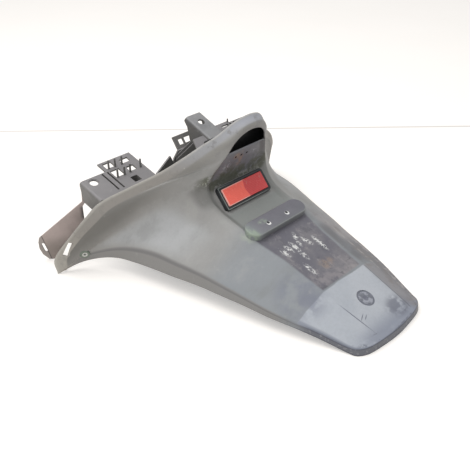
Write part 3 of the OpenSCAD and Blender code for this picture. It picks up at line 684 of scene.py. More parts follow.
def moulded_surface():
    """Group: the fine pitting of moulded plastic with soft scratches, as a normal and a roughness."""
    group = bpy.data.node_groups.new("moulded surface", "ShaderNodeTree")
    face = group.interface
    face.new_socket("Vector", in_out="INPUT", socket_type="NodeSocketVector")
    for name, given in (("Grain", 0.2), ("Rough", 0.55), ("Spread", 0.12)):
        face.new_socket(name, in_out="INPUT", socket_type="NodeSocketFloat").default_value = given
    face.new_socket("Roughness", in_out="OUTPUT", socket_type="NodeSocketFloat")
    face.new_socket("Normal", in_out="OUTPUT", socket_type="NodeSocketVector")
    given = node_of(group, "NodeGroupInput").outputs
    out = node_of(group, "NodeGroupOutput").inputs
    s = Shade(group, given["Vector"])
    grain, wave = s.noise(900, 3, 0.6), s.noise(14, 3, 0.5)
    scratch = s.noise(60, 5, 0.7, stretch=(1, 6, 1))
    height = s.value("ADD", s.value("MULTIPLY", grain, 0.35), s.value("MULTIPLY", wave, 1.4))
    height = s.value("ADD", height, s.value("MULTIPLY", scratch, 0.25))
    bump = node_of(group, "ShaderNodeBump")
    bump.inputs["Distance"].default_value = 0.0008
    s.link(given["Grain"], bump.inputs["Strength"])
    s.link(height, bump.inputs["Height"])
    s.link(bump.outputs[0], out["Normal"])
    spread = s.value("MULTIPLY", s.value("SUBTRACT", s.noise(35, 5, 0.6), 0.5), given["Spread"])
    rough = s.value("ADD", given["Rough"], s.value("MULTIPLY", spread, 2.0), clamp=True)
    s.link(rough, out["Roughness"])
    return group


def new_material(name):
    """A material's Shade, which also keeps the material and its shader."""
    material = bpy.data.materials.new(name)
    material.use_nodes = True
    tree = material.node_tree
    s = Shade(tree, node_of(tree, "ShaderNodeTexCoord").outputs["Object"])
    s.material, s.shader = material, tree.nodes["Principled BSDF"].inputs
    return s


def with_surface(s, colour, grain, rough, spread):
    """The material with its colour and with the moulded surface at its own values."""
    s.link(colour, s.shader["Base Color"])
    node = node_of(s.tree, "ShaderNodeGroup", node_tree=SURFACE)
    s.link(s.where, node.inputs["Vector"])
    for name, given in (("Grain", grain), ("Rough", rough), ("Spread", spread)):
        node.inputs[name].default_value = given
    for name in ("Roughness", "Normal"):
        s.link(node.outputs[name], s.shader[name])
    return s.material


# White scuffs on the number plate's zone, and the crease and two short scratches of the end panel
SCUFFS = [((6, 181), (-4, 157)), ((-38, 168), (-35, 152)), ((-15, 170), (-13, 152)), ((-15, 153), (-15, 134)),
          ((27, 161), (26, 129)), ((-29, 130), (-29, 107)), ((-27, 168), (-24, 156)), ((9, 168), (14, 150))]
CREASE = [((-46, 63), (-36, -13))]
SHORT_MARKS = [((-25, 25), (-40, 18)), ((-22, 21), (-33, 16))]
STREAK_HEIGHT = 40


def faded_plastic():
    """Black plastic bleached by the sun: clouds, worn edges, the darker zone under the number plate, and
    painted light and shade on the flank, the wings, their lip and the hood.
    The layers follow the skin: spoke counts round it, down goes from 0 at the recess by 1 at the
    shoulder to 2 at the free edge, and is below 0 on the middle strip."""
    s = new_material("faded black plastic")
    x, y, z = s.in_millimetres()
    spoke, down, inside = s.mark("spoke"), s.mark("down"), s.mark("inside")
    cloud, patch = s.noise(6, 5, 0.6), s.noise(17, 5, 0.6)
    fine, grit = s.noise(60, 5, 0.65), s.noise(260, 4, 0.65)
    strokes = s.noise(15, 6, 0.6, stretch=(1, 2.2, 1.4))
    skirt, strip, tip = s.step(down, 1.0, 1.1), s.step(down, 0.0, -0.06), s.step(spoke, 7.2, 6.2)
    lip, rim = s.mask((spoke, 17.6, 30, 0.2), skirt), s.mask(tip, skirt)
    wing_streaks = s.any(*[s.blob((side * 186, 393, 104), (5, 8, 24)) for side in (-1, 1)])
    # Painted highlight of the lip's band, lighter low down
    lip_highlight = s.mix(s.step(z, 40, 85), (0.65, 0.635, 0.605), (0.585, 0.57, 0.55))
    colour = s.lay(
        s.mix(s.step(cloud, 0.32, 0.68), (0.575, 0.57, 0.56), (0.63, 0.63, 0.625)),
        ((y, 300, 420), (0.61, 0.595, 0.575), 0.5),
        ((y, 250, 190), (0.525, 0.545, 0.565), 0.85),
        # Painted light on the middle of the flank below the wing
        ((spoke, 12.2, 17, 1.2), (down, 0.35, 0.95, 0.12), (0.665, 0.67, 0.675), 0.85),
        ((strokes, 0.5, 0.78), (0.72, 0.71, 0.69), 0.22),
        ((strokes, 0.5, 0.28), (0.45, 0.455, 0.44), 0.3),
        (wing_streaks, (fine, 0.4, 0.6), (0.66, 0.65, 0.62), 0.5),
        # Painted shade in the hollow of the wing, its paler upper part, painted shade on the skirt's upright
        # band, and a darker line just below the crease along it
        ((spoke, 17.9, 22.6, 1.3), (down, 0.15, 0.7), (0.455, 0.45, 0.435), 0.95),
        ((spoke, 22.5, 24.5), (down, 0.3, 0.8), (0.6, 0.595, 0.58), 0.8),
        ((spoke, 7.5, 17.3, 0.3), skirt, (0.545, 0.54, 0.535), 0.9),
        ((spoke, 5, 17, 0.8), (down, 1.12, 1.3, 0.06), (0.42, 0.42, 0.43), 0.6),
        # Painted highlight on the lip of the wing and the hood, lighter low down, with its pale edge, and a
        # painted sheen on the hood
        (lip, lip_highlight, 1.0),
        (lip, (z, 150, 205), (0.635, 0.64, 0.655), 0.9),
        (lip, (down, 1.75, 1.95), (0.74, 0.73, 0.7), 0.5),
        ((spoke, 26.5, 28.5), (down, 0.95, 1.5, 0.25), (0.64, 0.65, 0.69), 0.7),
        ((spoke, 24, 27), (fine, 0.55, 0.64), (0.5, 0.5, 0.515), 0.45),
        (lip, (fine, 0.56, 0.68), (0.5, 0.49, 0.47), 0.4))

    # The end panel, lighter where a second plate kept it clean, its smudge and its upright rim
    panel = s.mask((s.value("MULTIPLY_ADD", patch, 6.0, y), 83.5, 81.5), (spoke, 7.8, 7.2), (down, 1.1, 1.0))
    panel_tint = s.mix(s.step(patch, 0.3, 0.75), (0.665, 0.685, 0.715), (0.71, 0.725, 0.75))
    right_tint = s.lay(s.mix(s.step(y, 125, 150), (0.46, 0.455, 0.47), (0.6, 0.585, 0.59)),
                       ((fine, 0.5, 0.62), (0.5, 0.47, 0.46), 0.6))
    colour = s.lay(
        colour,
        (panel, panel_tint, 1.0),
        (panel, (x, 46, 53), (0.535, 0.525, 0.535), 0.85),
        (panel, (y, 18, -12), (patch, 0.28, 0.5), (0.52, 0.54, 0.595), 0.85),
        (s.blob((32, 5, 21), (30, 22, 40)), (fine, 0.34, 0.54), (0.4, 0.41, 0.46), 0.75),
        (rim, (0.4, 0.41, 0.445), 0.95),
        (rim, (grit, 0.56, 0.66), (0.62, 0.62, 0.64), 0.5),
        (tip, (down, 0.985, 1.12, 0.012), (0.27, 0.28, 0.33), 0.75),
        (tip, (down, 1.8, 1.92), (0.27, 0.28, 0.32), 0.6),
        (panel, (down, 0.74, 0.97, 0.04), (spoke, 4.4, 3.8), (fine, 0.52, 0.62), (0.36, 0.37, 0.42), 0.7),
        (panel, (down, 0.9, 0.97), (0.47, 0.49, 0.54), 0.7),
        ((x, 62, 84), (y, 235, 180), right_tint, 0.9),
        (s.blob((-72, 100, 35), (44, 52, 60)), (s.noise(32, 4, 0.6), 0.36, 0.6), (0.44, 0.455, 0.52), 0.65))

    # The strip: greenish under the reflector, dark under the number plate
    zone = s.mask((s.value("MULTIPLY_ADD", patch, 0.16, down), 0.1, 0.02), (y, 82, 205, 1.5),
                  (spoke, 11.6, 11.4), (spoke, 3.9, 4.1))
    zone_tint = s.lay(s.mix(s.step(patch, 0.4, 0.7), (0.4, 0.395, 0.43), (0.485, 0.475, 0.49)),
                      ((y, 118, 92), (fine, 0.38, 0.6), (0.56, 0.54, 0.55), 0.75),
                      ((fine, 0.62, 0.72), (x, 10, 50), (0.6, 0.58, 0.57), 0.6))
    smears = s.noise(36, 6, 0.7, stretch=(1.6, 1, 1))
    colour = s.lay(
        colour,
        (strip, (y, 203, 262, 6), (0.545, 0.56, 0.55), 0.95),
        (zone, zone_tint, 1.0),
        (s.blob((2, 113, 57), (20, 14, 30)), (fine, 0.42, 0.6), (0.57, 0.51, 0.47), 0.8),
        (zone, (smears, 0.53, 0.66), (0.6, 0.58, 0.58), 0.5),
        (zone, (s.noise(52, 5, 0.7), 0.46, 0.36), (0.32, 0.32, 0.35), 0.5))

    # The lamp's plate: rust round its three holes, painted shade darkening their rims, grime below, pale
    # flecks and dust
    lamp = s.mask((spoke, 17.7, 18.3), (down, 0.02, -0.06))
    lamp_tint = s.mix(s.step(patch, 0.35, 0.7), (0.42, 0.42, 0.45), (0.5, 0.5, 0.515))
    rust = s.any(s.blob((-1, 286, 169), (9, 14, 24)), s.blob((-9, 284, 177), (11, 14, 8)))
    dust = s.any(s.blob((-30, 288, 162), (16, 14, 10)), s.blob((28, 285, 174), (12, 12, 5)))
    hole = s.value("ABSOLUTE", x)
    for _ in range(2):
        hole = s.value("ABSOLUTE", s.value("SUBTRACT", hole, LAMP_HOLE_X / 2))
    colour = s.lay(
        colour,
        (lamp, lamp_tint, 1.0),
        (rust, (fine, 0.38, 0.54), (0.54, 0.47, 0.43), 0.9),
        # Painted shade at the rims of the three holes
        ((hole, 2.4, 1.6), (z, 174.2, 177.2, 0.6), (y, 292, 288), lamp, (0.08, 0.07, 0.07), 0.95),
        (lamp, (s.noise(42, 5, 0.7), 0.5, 0.62), (z, 176, 152), (0.27, 0.28, 0.24), 0.7),
        (lamp, (s.noise(75, 4, 0.7), 0.6, 0.68), (x, -8, -22), (0.64, 0.66, 0.66), 0.6),
        (dust, (grit, 0.5, 0.6), (0.66, 0.67, 0.7), 0.8),
        # Shade and dirt where the recess folds
        ((spoke, 11.5, 25.5, 0.8), (down, -0.16, 0.03, 0.04), (0.45, 0.455, 0.44), 0.5),
        ((spoke, 16.6, 19.8, 0.5), (down, 0.15, 0.02), (fine, 0.4, 0.56), (0.3, 0.31, 0.25), 0.85),
        (s.blob((-66, 293, 148), (12, 14, 12)), (grit, 0.5, 0.6), (0.68, 0.69, 0.64), 0.7),
        ((spoke, 14.6, 17.5, 0.5), (down, -0.1, 0.14, 0.05), (x, 0, -20), (0.42, 0.42, 0.41), 0.7),
        (s.blob((-66, 205, 92), (16, 22, 14)), (fine, 0.36, 0.55), (0.66, 0.7, 0.63), 0.75))

    # Scuffs and creases, the stained right flank, the round mark, specks, wing screws with painted light in
    # their middles, and the hidden face, near black as unfaded plastic and as painted shade
    creases = s.any(s.streaks(CREASE, 1.3), s.streaks(SHORT_MARKS, 1.0))
    ring = s.reach(x, y, (0.0, MARK_Y))
    disc = s.mask((ring, 10.9, 10.5), panel)
    disc_tint = s.mix(s.step(s.noise(130, 3, 0.6), 0.42, 0.56), (0.4, 0.41, 0.45), (0.6, 0.61, 0.65))
    screw = node_of(s.tree, "ShaderNodeCombineXYZ")
    for given, socket in zip((s.value("ABSOLUTE", x), y, z), screw.inputs):
        s.link(given, socket)
    away = node_of(s.tree, "ShaderNodeVectorMath", operation="DISTANCE")
    away.inputs[1].default_value = WING_SCREW + BOSS_RISE * np.array(WING_SCREW_WAY)
    s.link(screw.outputs[0], away.inputs[0])
    away = away.outputs["Value"]
    colour = s.lay(
        colour,
        (s.streaks(SCUFFS, 5.5), (s.noise(250, 4, 0.75), 0.49, 0.53), (0.88, 0.88, 0.87), 0.95),
        ((x, 49.4, 50.8, 0.7), (y, 80, 76), (down, 0.6, 0.4), (0.34, 0.345, 0.38), 0.85),
        ((x, 50, 62), (y, 190, 150), (s.noise(34, 6, 0.7), 0.44, 0.6), (0.5, 0.475, 0.465), 0.6),
        ((down, 0.52, 0.6, 0.03), (x, 55, 65), (y, 60, 190, 15), (fine, 0.4, 0.55), (0.66, 0.65, 0.64), 0.6),
        ((down, 0.78, 0.95, 0.05), (x, 60, 80), (fine, 0.45, 0.62), (y, 250, 220), (0.7, 0.68, 0.68), 0.55),
        ((down, 0.06, 0.42, 0.1), (x, 40, 60), (y, 86, 175, 14), (patch, 0.3, 0.52),
         (0.41, 0.41, 0.43), 0.75),
        (creases, (down, 0.95, 0.8), (0.4, 0.41, 0.46), 0.85),
        ((ring, 10.6, 13.3, 0.35), panel, (0.36, 0.37, 0.42), 0.8),
        (disc, disc_tint, 0.9),
        (disc, (ring, 5.0, 3.6), (0.4, 0.41, 0.46), 0.8),
        ((s.noise(150, 2, 0.5), 0.76, 0.8), (0.8, 0.79, 0.76), 0.5),
        ((fine, 0.6, 0.85), (0.7, 0.7, 0.69), 0.35),
        ((grit, 0.35, 0.75), (0.5, 0.5, 0.5), 0.12),
        ((away, 4.6, 8.2, 0.5), (0.4, 0.47, 0.41), 0.75),
        # Painted light in the middle of each wing screw
        ((away, 4.4, 3.8), (0.88, 0.89, 0.87), 0.9),
        # The inner face near black: the plastic's unfaded black, and painted shade under the hood
        ((inside, 0.3, 0.8), (0.1, 0.1, 0.105), 1.0))
    return with_surface(s, colour, 0.35, 0.55, 0.1)


def pad_plastic():
    """The pad: slate dark on top with paler edges, whitened round its screw holes, green at its left end."""
    s = new_material("number plate pad plastic")
    x, y, _ = s.in_millimetres()
    cloud, fine, upward = s.noise(20, 5, 0.6), s.noise(90, 5, 0.65), s.upward()
    top = s.step(upward, 0.8, 0.93)
    top_tint = s.mix(s.step(cloud, 0.3, 0.7), (0.395, 0.39, 0.425), (0.455, 0.45, 0.48))
    holes = [s.value("MULTIPLY_ADD", fine, 1.5, s.reach(x, y, (hole, 207.0))) for hole in PAD_BORES_X]
    green = s.any(s.blob((-60, 204, 92), (14, 24, 22)), s.blob((-28, 214, 100), (12, 7, 12)))
    colour = s.lay(
        s.mix(top, (0.44, 0.45, 0.46), top_tint),
        ((x, -34, -60), (0.53, 0.55, 0.555), 0.8),
        ((upward, 0.45, 0.9, 0.12), (0.56, 0.58, 0.57), 0.6),
        *[(top, (away, 4.9, 3.9), (0.93, 0.93, 0.92), 0.95) for away in holes],
        (green, (fine, 0.35, 0.6), (0.6, 0.66, 0.58), 0.7))
    return with_surface(s, colour, 0.3, 0.5, 0.1)


def bracket_plastic(name, flat, side):
    """The same plastic where bodywork kept the sun off it, dusty in patches, with painted light and shade:
    lighter on faces that look up than on its sides, near black on faces that look down and in the lamp's
    cavity.
    """
    s = new_material(name)
    x, y, z = s.in_millimetres()
    cloud, fine, upward = s.noise(18, 5, 0.6), s.noise(80, 5, 0.65), s.upward()
    colour = s.lay(
        # Painted light and shade: lighter on faces that look up, darker on upright sides
        s.mix(s.step(upward, 0.5, 0.85), side, flat),
        # Painted shade: near black on faces that look down
        ((upward, -0.2, -0.7), (0.2, 0.2, 0.205), 1.0),
        ((z, 100, 128, 3), (x, -80, 80, 4), (y, 404, 398), (0.25, 0.25, 0.24), 0.7),
        ((cloud, 0.45, 0.72), (0.58, 0.565, 0.56), 0.35),
        ((cloud, 0.45, 0.28), (0.33, 0.33, 0.345), 0.4),
        # Painted shade: near black in the lamp's cavity under the hood
        ((y, 307, 304), (0.12, 0.12, 0.125), 1.0),
        ((fine, 0.6, 0.78), (0.66, 0.65, 0.64), 0.35))
    return with_surface(s, colour, 0.3, 0.5, 0.12)


def arm_plastic():
    """Arms: dusty pinkish grey, darker towards the bottom; painted shade stands in for the fold near their
    tip, which the flat plate lacks, as a dark line along the slanted fold above their slot and a darker part
    past it, and for a return flange as a dark strip at their back end.
    """
    s = new_material("dusty arm plastic")
    x, _, z = s.in_millimetres()
    cloud, fine = s.noise(16, 5, 0.6), s.noise(90, 5, 0.65)
    along = s.value("SUBTRACT", s.value("ABSOLUTE", x), float(ARM_BACK[0]))
    along = s.value("MULTIPLY", along, 1 / cos(ARM_TURN))
    fold = s.value("SUBTRACT", along, s.value("MULTIPLY", z, 0.227))
    colour = s.lay(
        s.mix(s.step(cloud, 0.3, 0.7), (0.66, 0.61, 0.59), (0.76, 0.7, 0.68)),
        ((z, 52, 18), (0.54, 0.5, 0.475), 0.85),
        # Painted shade for the fold near the tip: a dark line along it and a darker part past it
        ((fold, 61.0, 62.6, 0.4), (0.3, 0.28, 0.28), 0.8),
        ((fold, 62.4, 63.4), (0.63, 0.605, 0.59), 0.7),
        # Painted shade for the return flange at the arm's back end
        ((along, 8, 1), (z, 76, 97, 3), (0.26, 0.25, 0.255), 0.8),
        ((fine, 0.6, 0.78), (0.74, 0.71, 0.69), 0.35))
    return with_surface(s, colour, 0.3, 0.5, 0.12)


def frame_plastic():
    """Black housing, dusty in its corners, with a painted highlight on its lip at the lower left; rim is the
    distance from its outline.
    """
    s = new_material("reflector frame plastic")
    dust, fine = s.noise(120, 4, 0.6), s.noise(30, 4, 0.6)
    x, rise, lift = s.on_seat()
    rim = s.value("MINIMUM", *[s.value("SUBTRACT", half, s.value("ABSOLUTE", v))
                               for half, v in ((REFLECTOR_HALF_X, x), (REFLECTOR_HALF_Y, rise))])
    lower_left = s.value("ADD", rise, s.value("MULTIPLY", x, 0.5))
    colour = s.lay(
        s.mix(s.value("MULTIPLY", s.step(dust, 0.45, 0.8), 0.4), (0.17, 0.18, 0.19), (0.33, 0.34, 0.34)),
        # Painted highlight on the top of the lip at the lower left, broken up by noise
        ((rim, 1.2, 2.3, 0.35), (lift, 7.0, 8.0), (fine, 0.34, 0.5), (lower_left, 12, -12),
         (0.58, 0.61, 0.59), 0.85),
        ((rim, 4.1, 4.8), (0.1, 0.1, 0.11), 0.8))
    return with_surface(s, colour, 0.15, 0.35, 0.12)


def lens_plastic():
    """Red lens: small square cells, the left half bright with a painted reflection of the lamps, the right
    half deep and dusty, and a painted highlight on the left part of its rim.
    The cells are two waves multiplied, each (sin(2.6 v) + 1) / 2."""
    s = new_material("red reflector lens")
    x, rise, _ = s.on_seat()
    height = s.value("ABSOLUTE", rise)
    side = s.step(s.value("MULTIPLY_ADD", height, -0.25, x), -2.5, 0.5)
    cells = s.mask(*[s.value("MULTIPLY_ADD", s.value("SINE", s.value("MULTIPLY", v, 2.6)), 0.5, 0.5)
                     for v in (x, rise)])
    fine = s.noise(130, 4, 0.6)
    # Painted reflection of the lamps on the left half of the lens
    painted_reflection = s.mix(cells, (1.0, 0.46, 0.4), (1.0, 0.4, 0.34))
    deep = s.lay(s.mix(cells, (0.86, 0.32, 0.32), (0.74, 0.24, 0.25)),
                 ((fine, 0.56, 0.68), (rise, -2, 10), (0.72, 0.48, 0.47), 0.6))
    # Painted highlight along the lens's rim, kept to its left part
    rim = s.any(s.step(height, 12.6, 13.4), s.step(x, -42.4, -43.2))
    colour = s.lay(
        s.mix(side, painted_reflection, deep),
        (rim, (x, 8, -6), (1.0, 0.8, 0.76), 0.75),
        (s.blob((-6, 285.5, 121), (5, 9, 9)), (fine, 0.45, 0.62), (0.7, 0.55, 0.53), 0.5))
    s.link(colour, s.shader["Base Color"])
    bump = node_of(s.tree, "ShaderNodeBump")
    bump.inputs["Strength"].default_value = 0.15
    bump.inputs["Distance"].default_value = 0.0004
    s.link(cells, bump.inputs["Height"])
    s.link(bump.outputs[0], s.shader["Normal"])
    s.link(s.value("MULTIPLY_ADD", fine, 0.3, 0.1), s.shader["Roughness"])
    return s.material


def zinc():
    """Bright zinc with a fine grey bloom."""
    s = new_material("zinc plated steel")
    s.shader["Metallic"].default_value = 0.9
    colour = s.mix(s.noise(400, 3, 0.6), (0.55, 0.55, 0.57), (0.72, 0.72, 0.72))
    return with_surface(s, colour, 0.1, 0.35, 0.1)


SURFACE = moulded_surface()
FADED = faded_plastic()
PAD = pad_plastic()
SHELTERED = bracket_plastic("sheltered black plastic", (0.51, 0.5, 0.505), (0.435, 0.43, 0.42))
SADDLE = bracket_plastic("sheltered saddle plastic", (0.545, 0.545, 0.55), (0.37, 0.365, 0.355))
ARM = arm_plastic()
FRAME = frame_plastic()
LENS = lens_plastic()
ZINC = zinc()


# Making the fender
at_pad = tilted(PAD_Y, float(strip_z(PAD_Y)) + PAD_HEIGHT / cos(radians(PLATE_SLOPE)), PLATE_SLOPE)
at_seat = tilted(SEAT_Y, SEAT_Z, SEAT_SLOPE)
at_lamp = tilted(*LAMP_HOLES_AT, LAMP_SLOPE)
at_mark = tilted(MARK_Y, float(strip_z(MARK_Y)), PANEL_SLOPE)


def at_lip(p):
    """Place of a plate drawn as x and z through the upright wall of the lip, leaning with the lip."""
    c, s = cos(radians(LIP_SLOT_LEAN)), sin(radians(LIP_SLOT_LEAN))
    return LIP_SLOT + np.column_stack([p[:, 0] * c - p[:, 1] * s, -p[:, 2], p[:, 0] * s + p[:, 1] * c])


def pad_bores():
    """Cutters for the number plate's two screw holes."""
    return [round_bar(SCREW_BORE, -20, 2, lambda p, x=x: at_pad(p + [x, -2, 0])) for x in PAD_BORES_X]


def wing_bores():
    """Cutters for the two wing screw holes."""
    return both(lambda change: round_bar(SCREW_BORE, -8, 4, change(at_point(WING_SCREW, WING_SCREW_WAY))))


def seat_pocket():
    """The room that the housing's foot takes in the seat."""
    return rounded_form(REFLECTOR_HALF_X + 0.3, REFLECTOR_HALF_Y + 0.3, 5.5,
                        [(0, SEAT_RISE), (0, SEAT_RISE + 8)], at_seat)


def crossings(lines, heights):
    """Where each line of points first goes from 0 or above to below 0 in its heights."""
    out = []
    for points, h in zip(lines, heights):
        k = np.flatnonzero((h[:-1] >= 0) & (h[1:] < 0))
        if len(k):
            k = k[0]
            out.append(points[k] + (points[k + 1] - points[k]) * h[k] / (h[k] - h[k + 1]))
    return out


def where_skin_meets(z0, slope, first, last):
    """Plan points where the middle of the skin crosses a plane z = z0 + y tan(slope)."""
    lines = middle_skin[first * PER:last * PER + 1:PER]
    return [(p[0], p[1]) for p in crossings(lines, lines[..., 2] - z0 - lines[..., 1] * tan(radians(slope)))]


def completed(name, parts, material, width=0.0, angle=BRACKET_ANGLE, cuts=(), operation="UNION",
              node="fender_body"):
    """Parts put together and cut, with their edges finished and their material and node given."""
    piece = merged(name, facing_out(parts), operation)
    if cuts:
        piece = merged(name, [piece] + facing_out(cuts), "DIFFERENCE")
    finish_edges(piece, width, angle)
    dress(piece, node, material)


# The fender's skin, with the holes of its lamp, pad, wing screws and lip, and the round mark's groove
skin_points, skin_faces, skin_marks, middle_skin = build_skin()
skin = new_object("fender_skin", skin_points, skin_faces, skin_marks)
cutters = [round_bar(LAMP_HOLE_R, -8, 8, lambda p, x=x: at_lamp(p + [x, 0, 0]), 20)
           for x in (-LAMP_HOLE_X, 0.0, LAMP_HOLE_X)]
cutters += pad_bores() + wing_bores()
cutters += both(lambda change: prism(box_loop(*LIP_SLOT_SHAPE), -30, 30, change(at_lip)))
cutters.append(seat_pocket())
mark_groove = [(MARK_R - 2.5, -0.3), (MARK_R - 2.5, -0.8), (MARK_R, -0.8), (MARK_R, 2)]
cutters.append(turned_form(mark_groove, at_mark, 56))
skin = merged("fender_skin", [skin] + facing_out(cutters), "DIFFERENCE")
refill(skin, ("spoke", "down"))
shade(skin, SMOOTH_ANGLE)
dress(skin, "fender_body", FADED)

# Number plate pad: a stadium with a rounded top edge, and two screw holes
pad_profile = [(0, -PAD_HEIGHT - 1.5), (0, -3)]
pad_profile += [(PAD_ROUND * (1 - cos(a)), PAD_ROUND * (sin(a) - 1)) for a in np.radians([0, 22, 45, 68, 90])]
pad = rounded_form(PAD_HALF_X, PAD_HALF_Y, PAD_HALF_Y, pad_profile, at_pad, 16)
completed("number_plate_pad", [pad] + pad_bores(), PAD, angle=SMOOTH_ANGLE, operation="DIFFERENCE")

# Boss round each wing screw hole
boss_profile = [(7.5, -6), (7.5, BOSS_RISE - 0.5), (7.3, BOSS_RISE - 0.15), (6.9, BOSS_RISE)]
screw_place = at_point(WING_SCREW, WING_SCREW_WAY)
for place, side, bore in zip((screw_place, mirrored(screw_place)), ("right", "left"), wing_bores()):
    completed("wing_screw_boss_" + side, [turned_form(boss_profile, place, 40), bore], FADED,
              angle=SMOOTH_ANGLE, operation="DIFFERENCE")

# Seat behind the reflector, with the boss for its stud
seat = rounded_form(51.2, 21.2, 6.4, [(0, -2), (0, 1.2), (0.3, 1.5)], at_seat)
completed("reflector_seat", [seat, round_bar(7, -5.5, 0, at_seat, 40)], FADED, angle=SMOOTH_ANGLE,
          cuts=[seat_pocket(), round_bar(2.75, -9, 3, at_seat)])

# Brackets. Windows, slots and the square hole are x, y, width and depth in plan on the right half.
FINGER_FRONT, FINGER_REAR, FINGER_LEAN = 448.5, 396.0, 12.0
FINGER_SIDE, FINGER_DROP, BEND_R = 189.0, 30.0, 6.0
FINGER_HOLE, FINGER_HOLE_R, FINGER_RING_R = (170, 437), 6.75, 8.25
LATTICE_SIDE, LATTICE_WIDTH, LATTICE_FRONT, RIGHT_LATTICE_FRONT = 139.0, 63.0, 470.0, 453.0
SLOTS = [(136, 404, 3, 42.5), (146, 404, 3, 42.5)]
WINDOWS = [(116, 429, 17, 17), (91, 430, 14, 12)]
FRONT_WINDOWS = [(117, 453, 16, 13), (87, 452, 16, 10)]
SQUARE_HOLE, GUTTER = (102, 405, 13, 13), (136, 404, 13, 42.5)
PINS = [(130, 452), (118, 451.5), (105, 451), (131, 428), (118, 427.5), (106, 428.5), (84, 430)]
RIGHT_PIN = (136, 450)
SADDLE_HOLE_Y, CAVITY_WALL_Y = 373, 300
WEB_Y, WEB_TOP, RIB_TURN, RIB_LENGTH, LUG_SLOPE = 397.0, 158, 36, 31, 54
ARM_SLOT, ARM_SLOT_HALF, ARM_SLOT_R, ARM_SLOT_LEAN = (70.5, 24), 6.0, 2.5, 75
deck_tan = tan(radians(DECK_SLOPE))
deck_z0 = DECK_Z - DECK_Y * deck_tan
deck_edge = where_skin_meets(deck_z0, DECK_SLOPE, 12, TOP - 3)
on_deck = on_slope(DECK_Y, DECK_Z, DECK_SLOPE)


def deck_middle(y):
    """Height of the middle of the deck's plate: a straight line in y."""
    return deck_z0 + y * deck_tan - PLATE_T / 2


def deck_half(lattice_front, windows, change):
    """One half of the deck's plate, along the skin and out to its finger and its lattice."""
    side, inner = FINGER_SIDE - BEND_R, LATTICE_SIDE - LATTICE_WIDTH
    outline = [(-1, 269.5), (58, 269.5), *deck_edge, (side, FINGER_REAR), (side, FINGER_FRONT),
               (LATTICE_SIDE, FINGER_FRONT), (LATTICE_SIDE, lattice_front), (inner, lattice_front),
               (inner, 400), (-1, 400)]
    holes = [box_loop(*w) for w in windows + [SQUARE_HOLE] + SLOTS]
    holes.append(round_arc(*FINGER_HOLE, FINGER_HOLE_R, 0, 345, 24))
    return prism(outline, -PLATE_T, 0, change(on_deck), holes)


def cup(shape, foot, floor, hold, change):
    """Walls round a place under the deck, down to their foot, and a floor between two heights."""
    x, y, w, d = shape

    def grown(by):
        return box_loop(x - by, y - by, w + 2 * by, d + 2 * by)

    walls = prism(grown(2), foot, -0.5, change(on_deck), [grown(0)])
    return [walls, prism(grown(hold), *floor, change(on_deck))]


def finger_section():
    """An L of plate with a round bend, as x and height from the deck's top."""
    r, c = BEND_R, FINGER_SIDE - BEND_R
    outer = [(c - 0.5, 0)] + round_arc(c, -r, r, 90, 0) + [(FINGER_SIDE, -FINGER_DROP)]
    return outer + [(FINGER_SIDE - PLATE_T, -FINGER_DROP)] + round_arc(c, -r, r - PLATE_T, 0, 90) \
        + [(c - 0.5, -PLATE_T)]


finger_outline = finger_section()
finger_place = along_slope(DECK_Y, DECK_Z, DECK_SLOPE)
deck_parts = [deck_half(RIGHT_LATTICE_FRONT, WINDOWS, as_drawn),
              deck_half(LATTICE_FRONT, WINDOWS + FRONT_WINDOWS, mirrored)]
deck_parts += both(lambda change: prism(finger_outline, FINGER_REAR + 2, FINGER_FRONT, change(finger_place)))
deck_parts += sum(both(lambda change: cup(GUTTER, -12, (-10, -7), 1.5, change))
                  + both(lambda change: cup(SQUARE_HOLE, -16, (-15.9, -13), 1.0, change)), [])
for px, py in PINS:
    deck_parts.append(turned_form([(1.8, 0), (1.5, 15.6), (1.15, 16)],
                                  lambda p, px=px, py=py: p + [-px, py, deck_middle(py)], 16))
px, py = RIGHT_PIN
deck_parts.append(turned_form([(1.5, 0), (1.35, 8)], lambda p: p + [px, py, deck_middle(py)], 16))

# The shallow ring round each finger hole, and the fingers' fronts cut off with a lean
deck_cuts = both(lambda change: round_bar(FINGER_RING_R, -0.8, 2,
                                          change(lambda p: on_deck(p + [*FINGER_HOLE, 0])), 32))
lean = radians(FINGER_LEAN)
corner = np.array([FINGER_FRONT + 1, deck_z0 + FINGER_FRONT * deck_tan])
ahead, below = 30 * np.array([cos(lean), -sin(lean)]), 60 * np.array([-sin(lean), -cos(lean)])
front_cut = [corner, corner + ahead, corner + ahead + below, corner + below]
deck_cuts += both(lambda change: prism(front_cut, FINGER_SIDE - BEND_R - 1, FINGER_SIDE + 1, change(side_on)))
completed("bracket_deck", deck_parts, SHELTERED, 0.4, cuts=deck_cuts)

# Saddle bracket: a folded strap that leans back at its front, on a shelf
on_saddle = on_slope(SADDLE_Y, SADDLE_Z, SADDLE_SLOPE)
saddle_z0 = SADDLE_Z - SADDLE_Y * tan(radians(SADDLE_SLOPE))
foot, centre = SADDLE_HALF - PLATE_T, SADDLE_HALF - BEND_R
saddle_outline = [(-SADDLE_HALF, -90)] + round_arc(-centre, -BEND_R, BEND_R, 180, 90) \
    + round_arc(centre, -BEND_R, BEND_R, 90, 0) + [(SADDLE_HALF, -90), (foot, -90)] \
    + round_arc(centre, -BEND_R, BEND_R - PLATE_T, 0, 90) \
    + round_arc(-centre, -BEND_R, BEND_R - PLATE_T, 90, 180) + [(-foot, -90)]
saddle = prism(saddle_outline, 303, 392, along_slope(SADDLE_Y, SADDLE_Z, SADDLE_SLOPE))
trim = prism([(303, deck_middle(303)), (382, deck_middle(382)), (382, 172), (388, 196), (400, 212),
              (400, 240), (303, 240)], -60, 60, side_on)
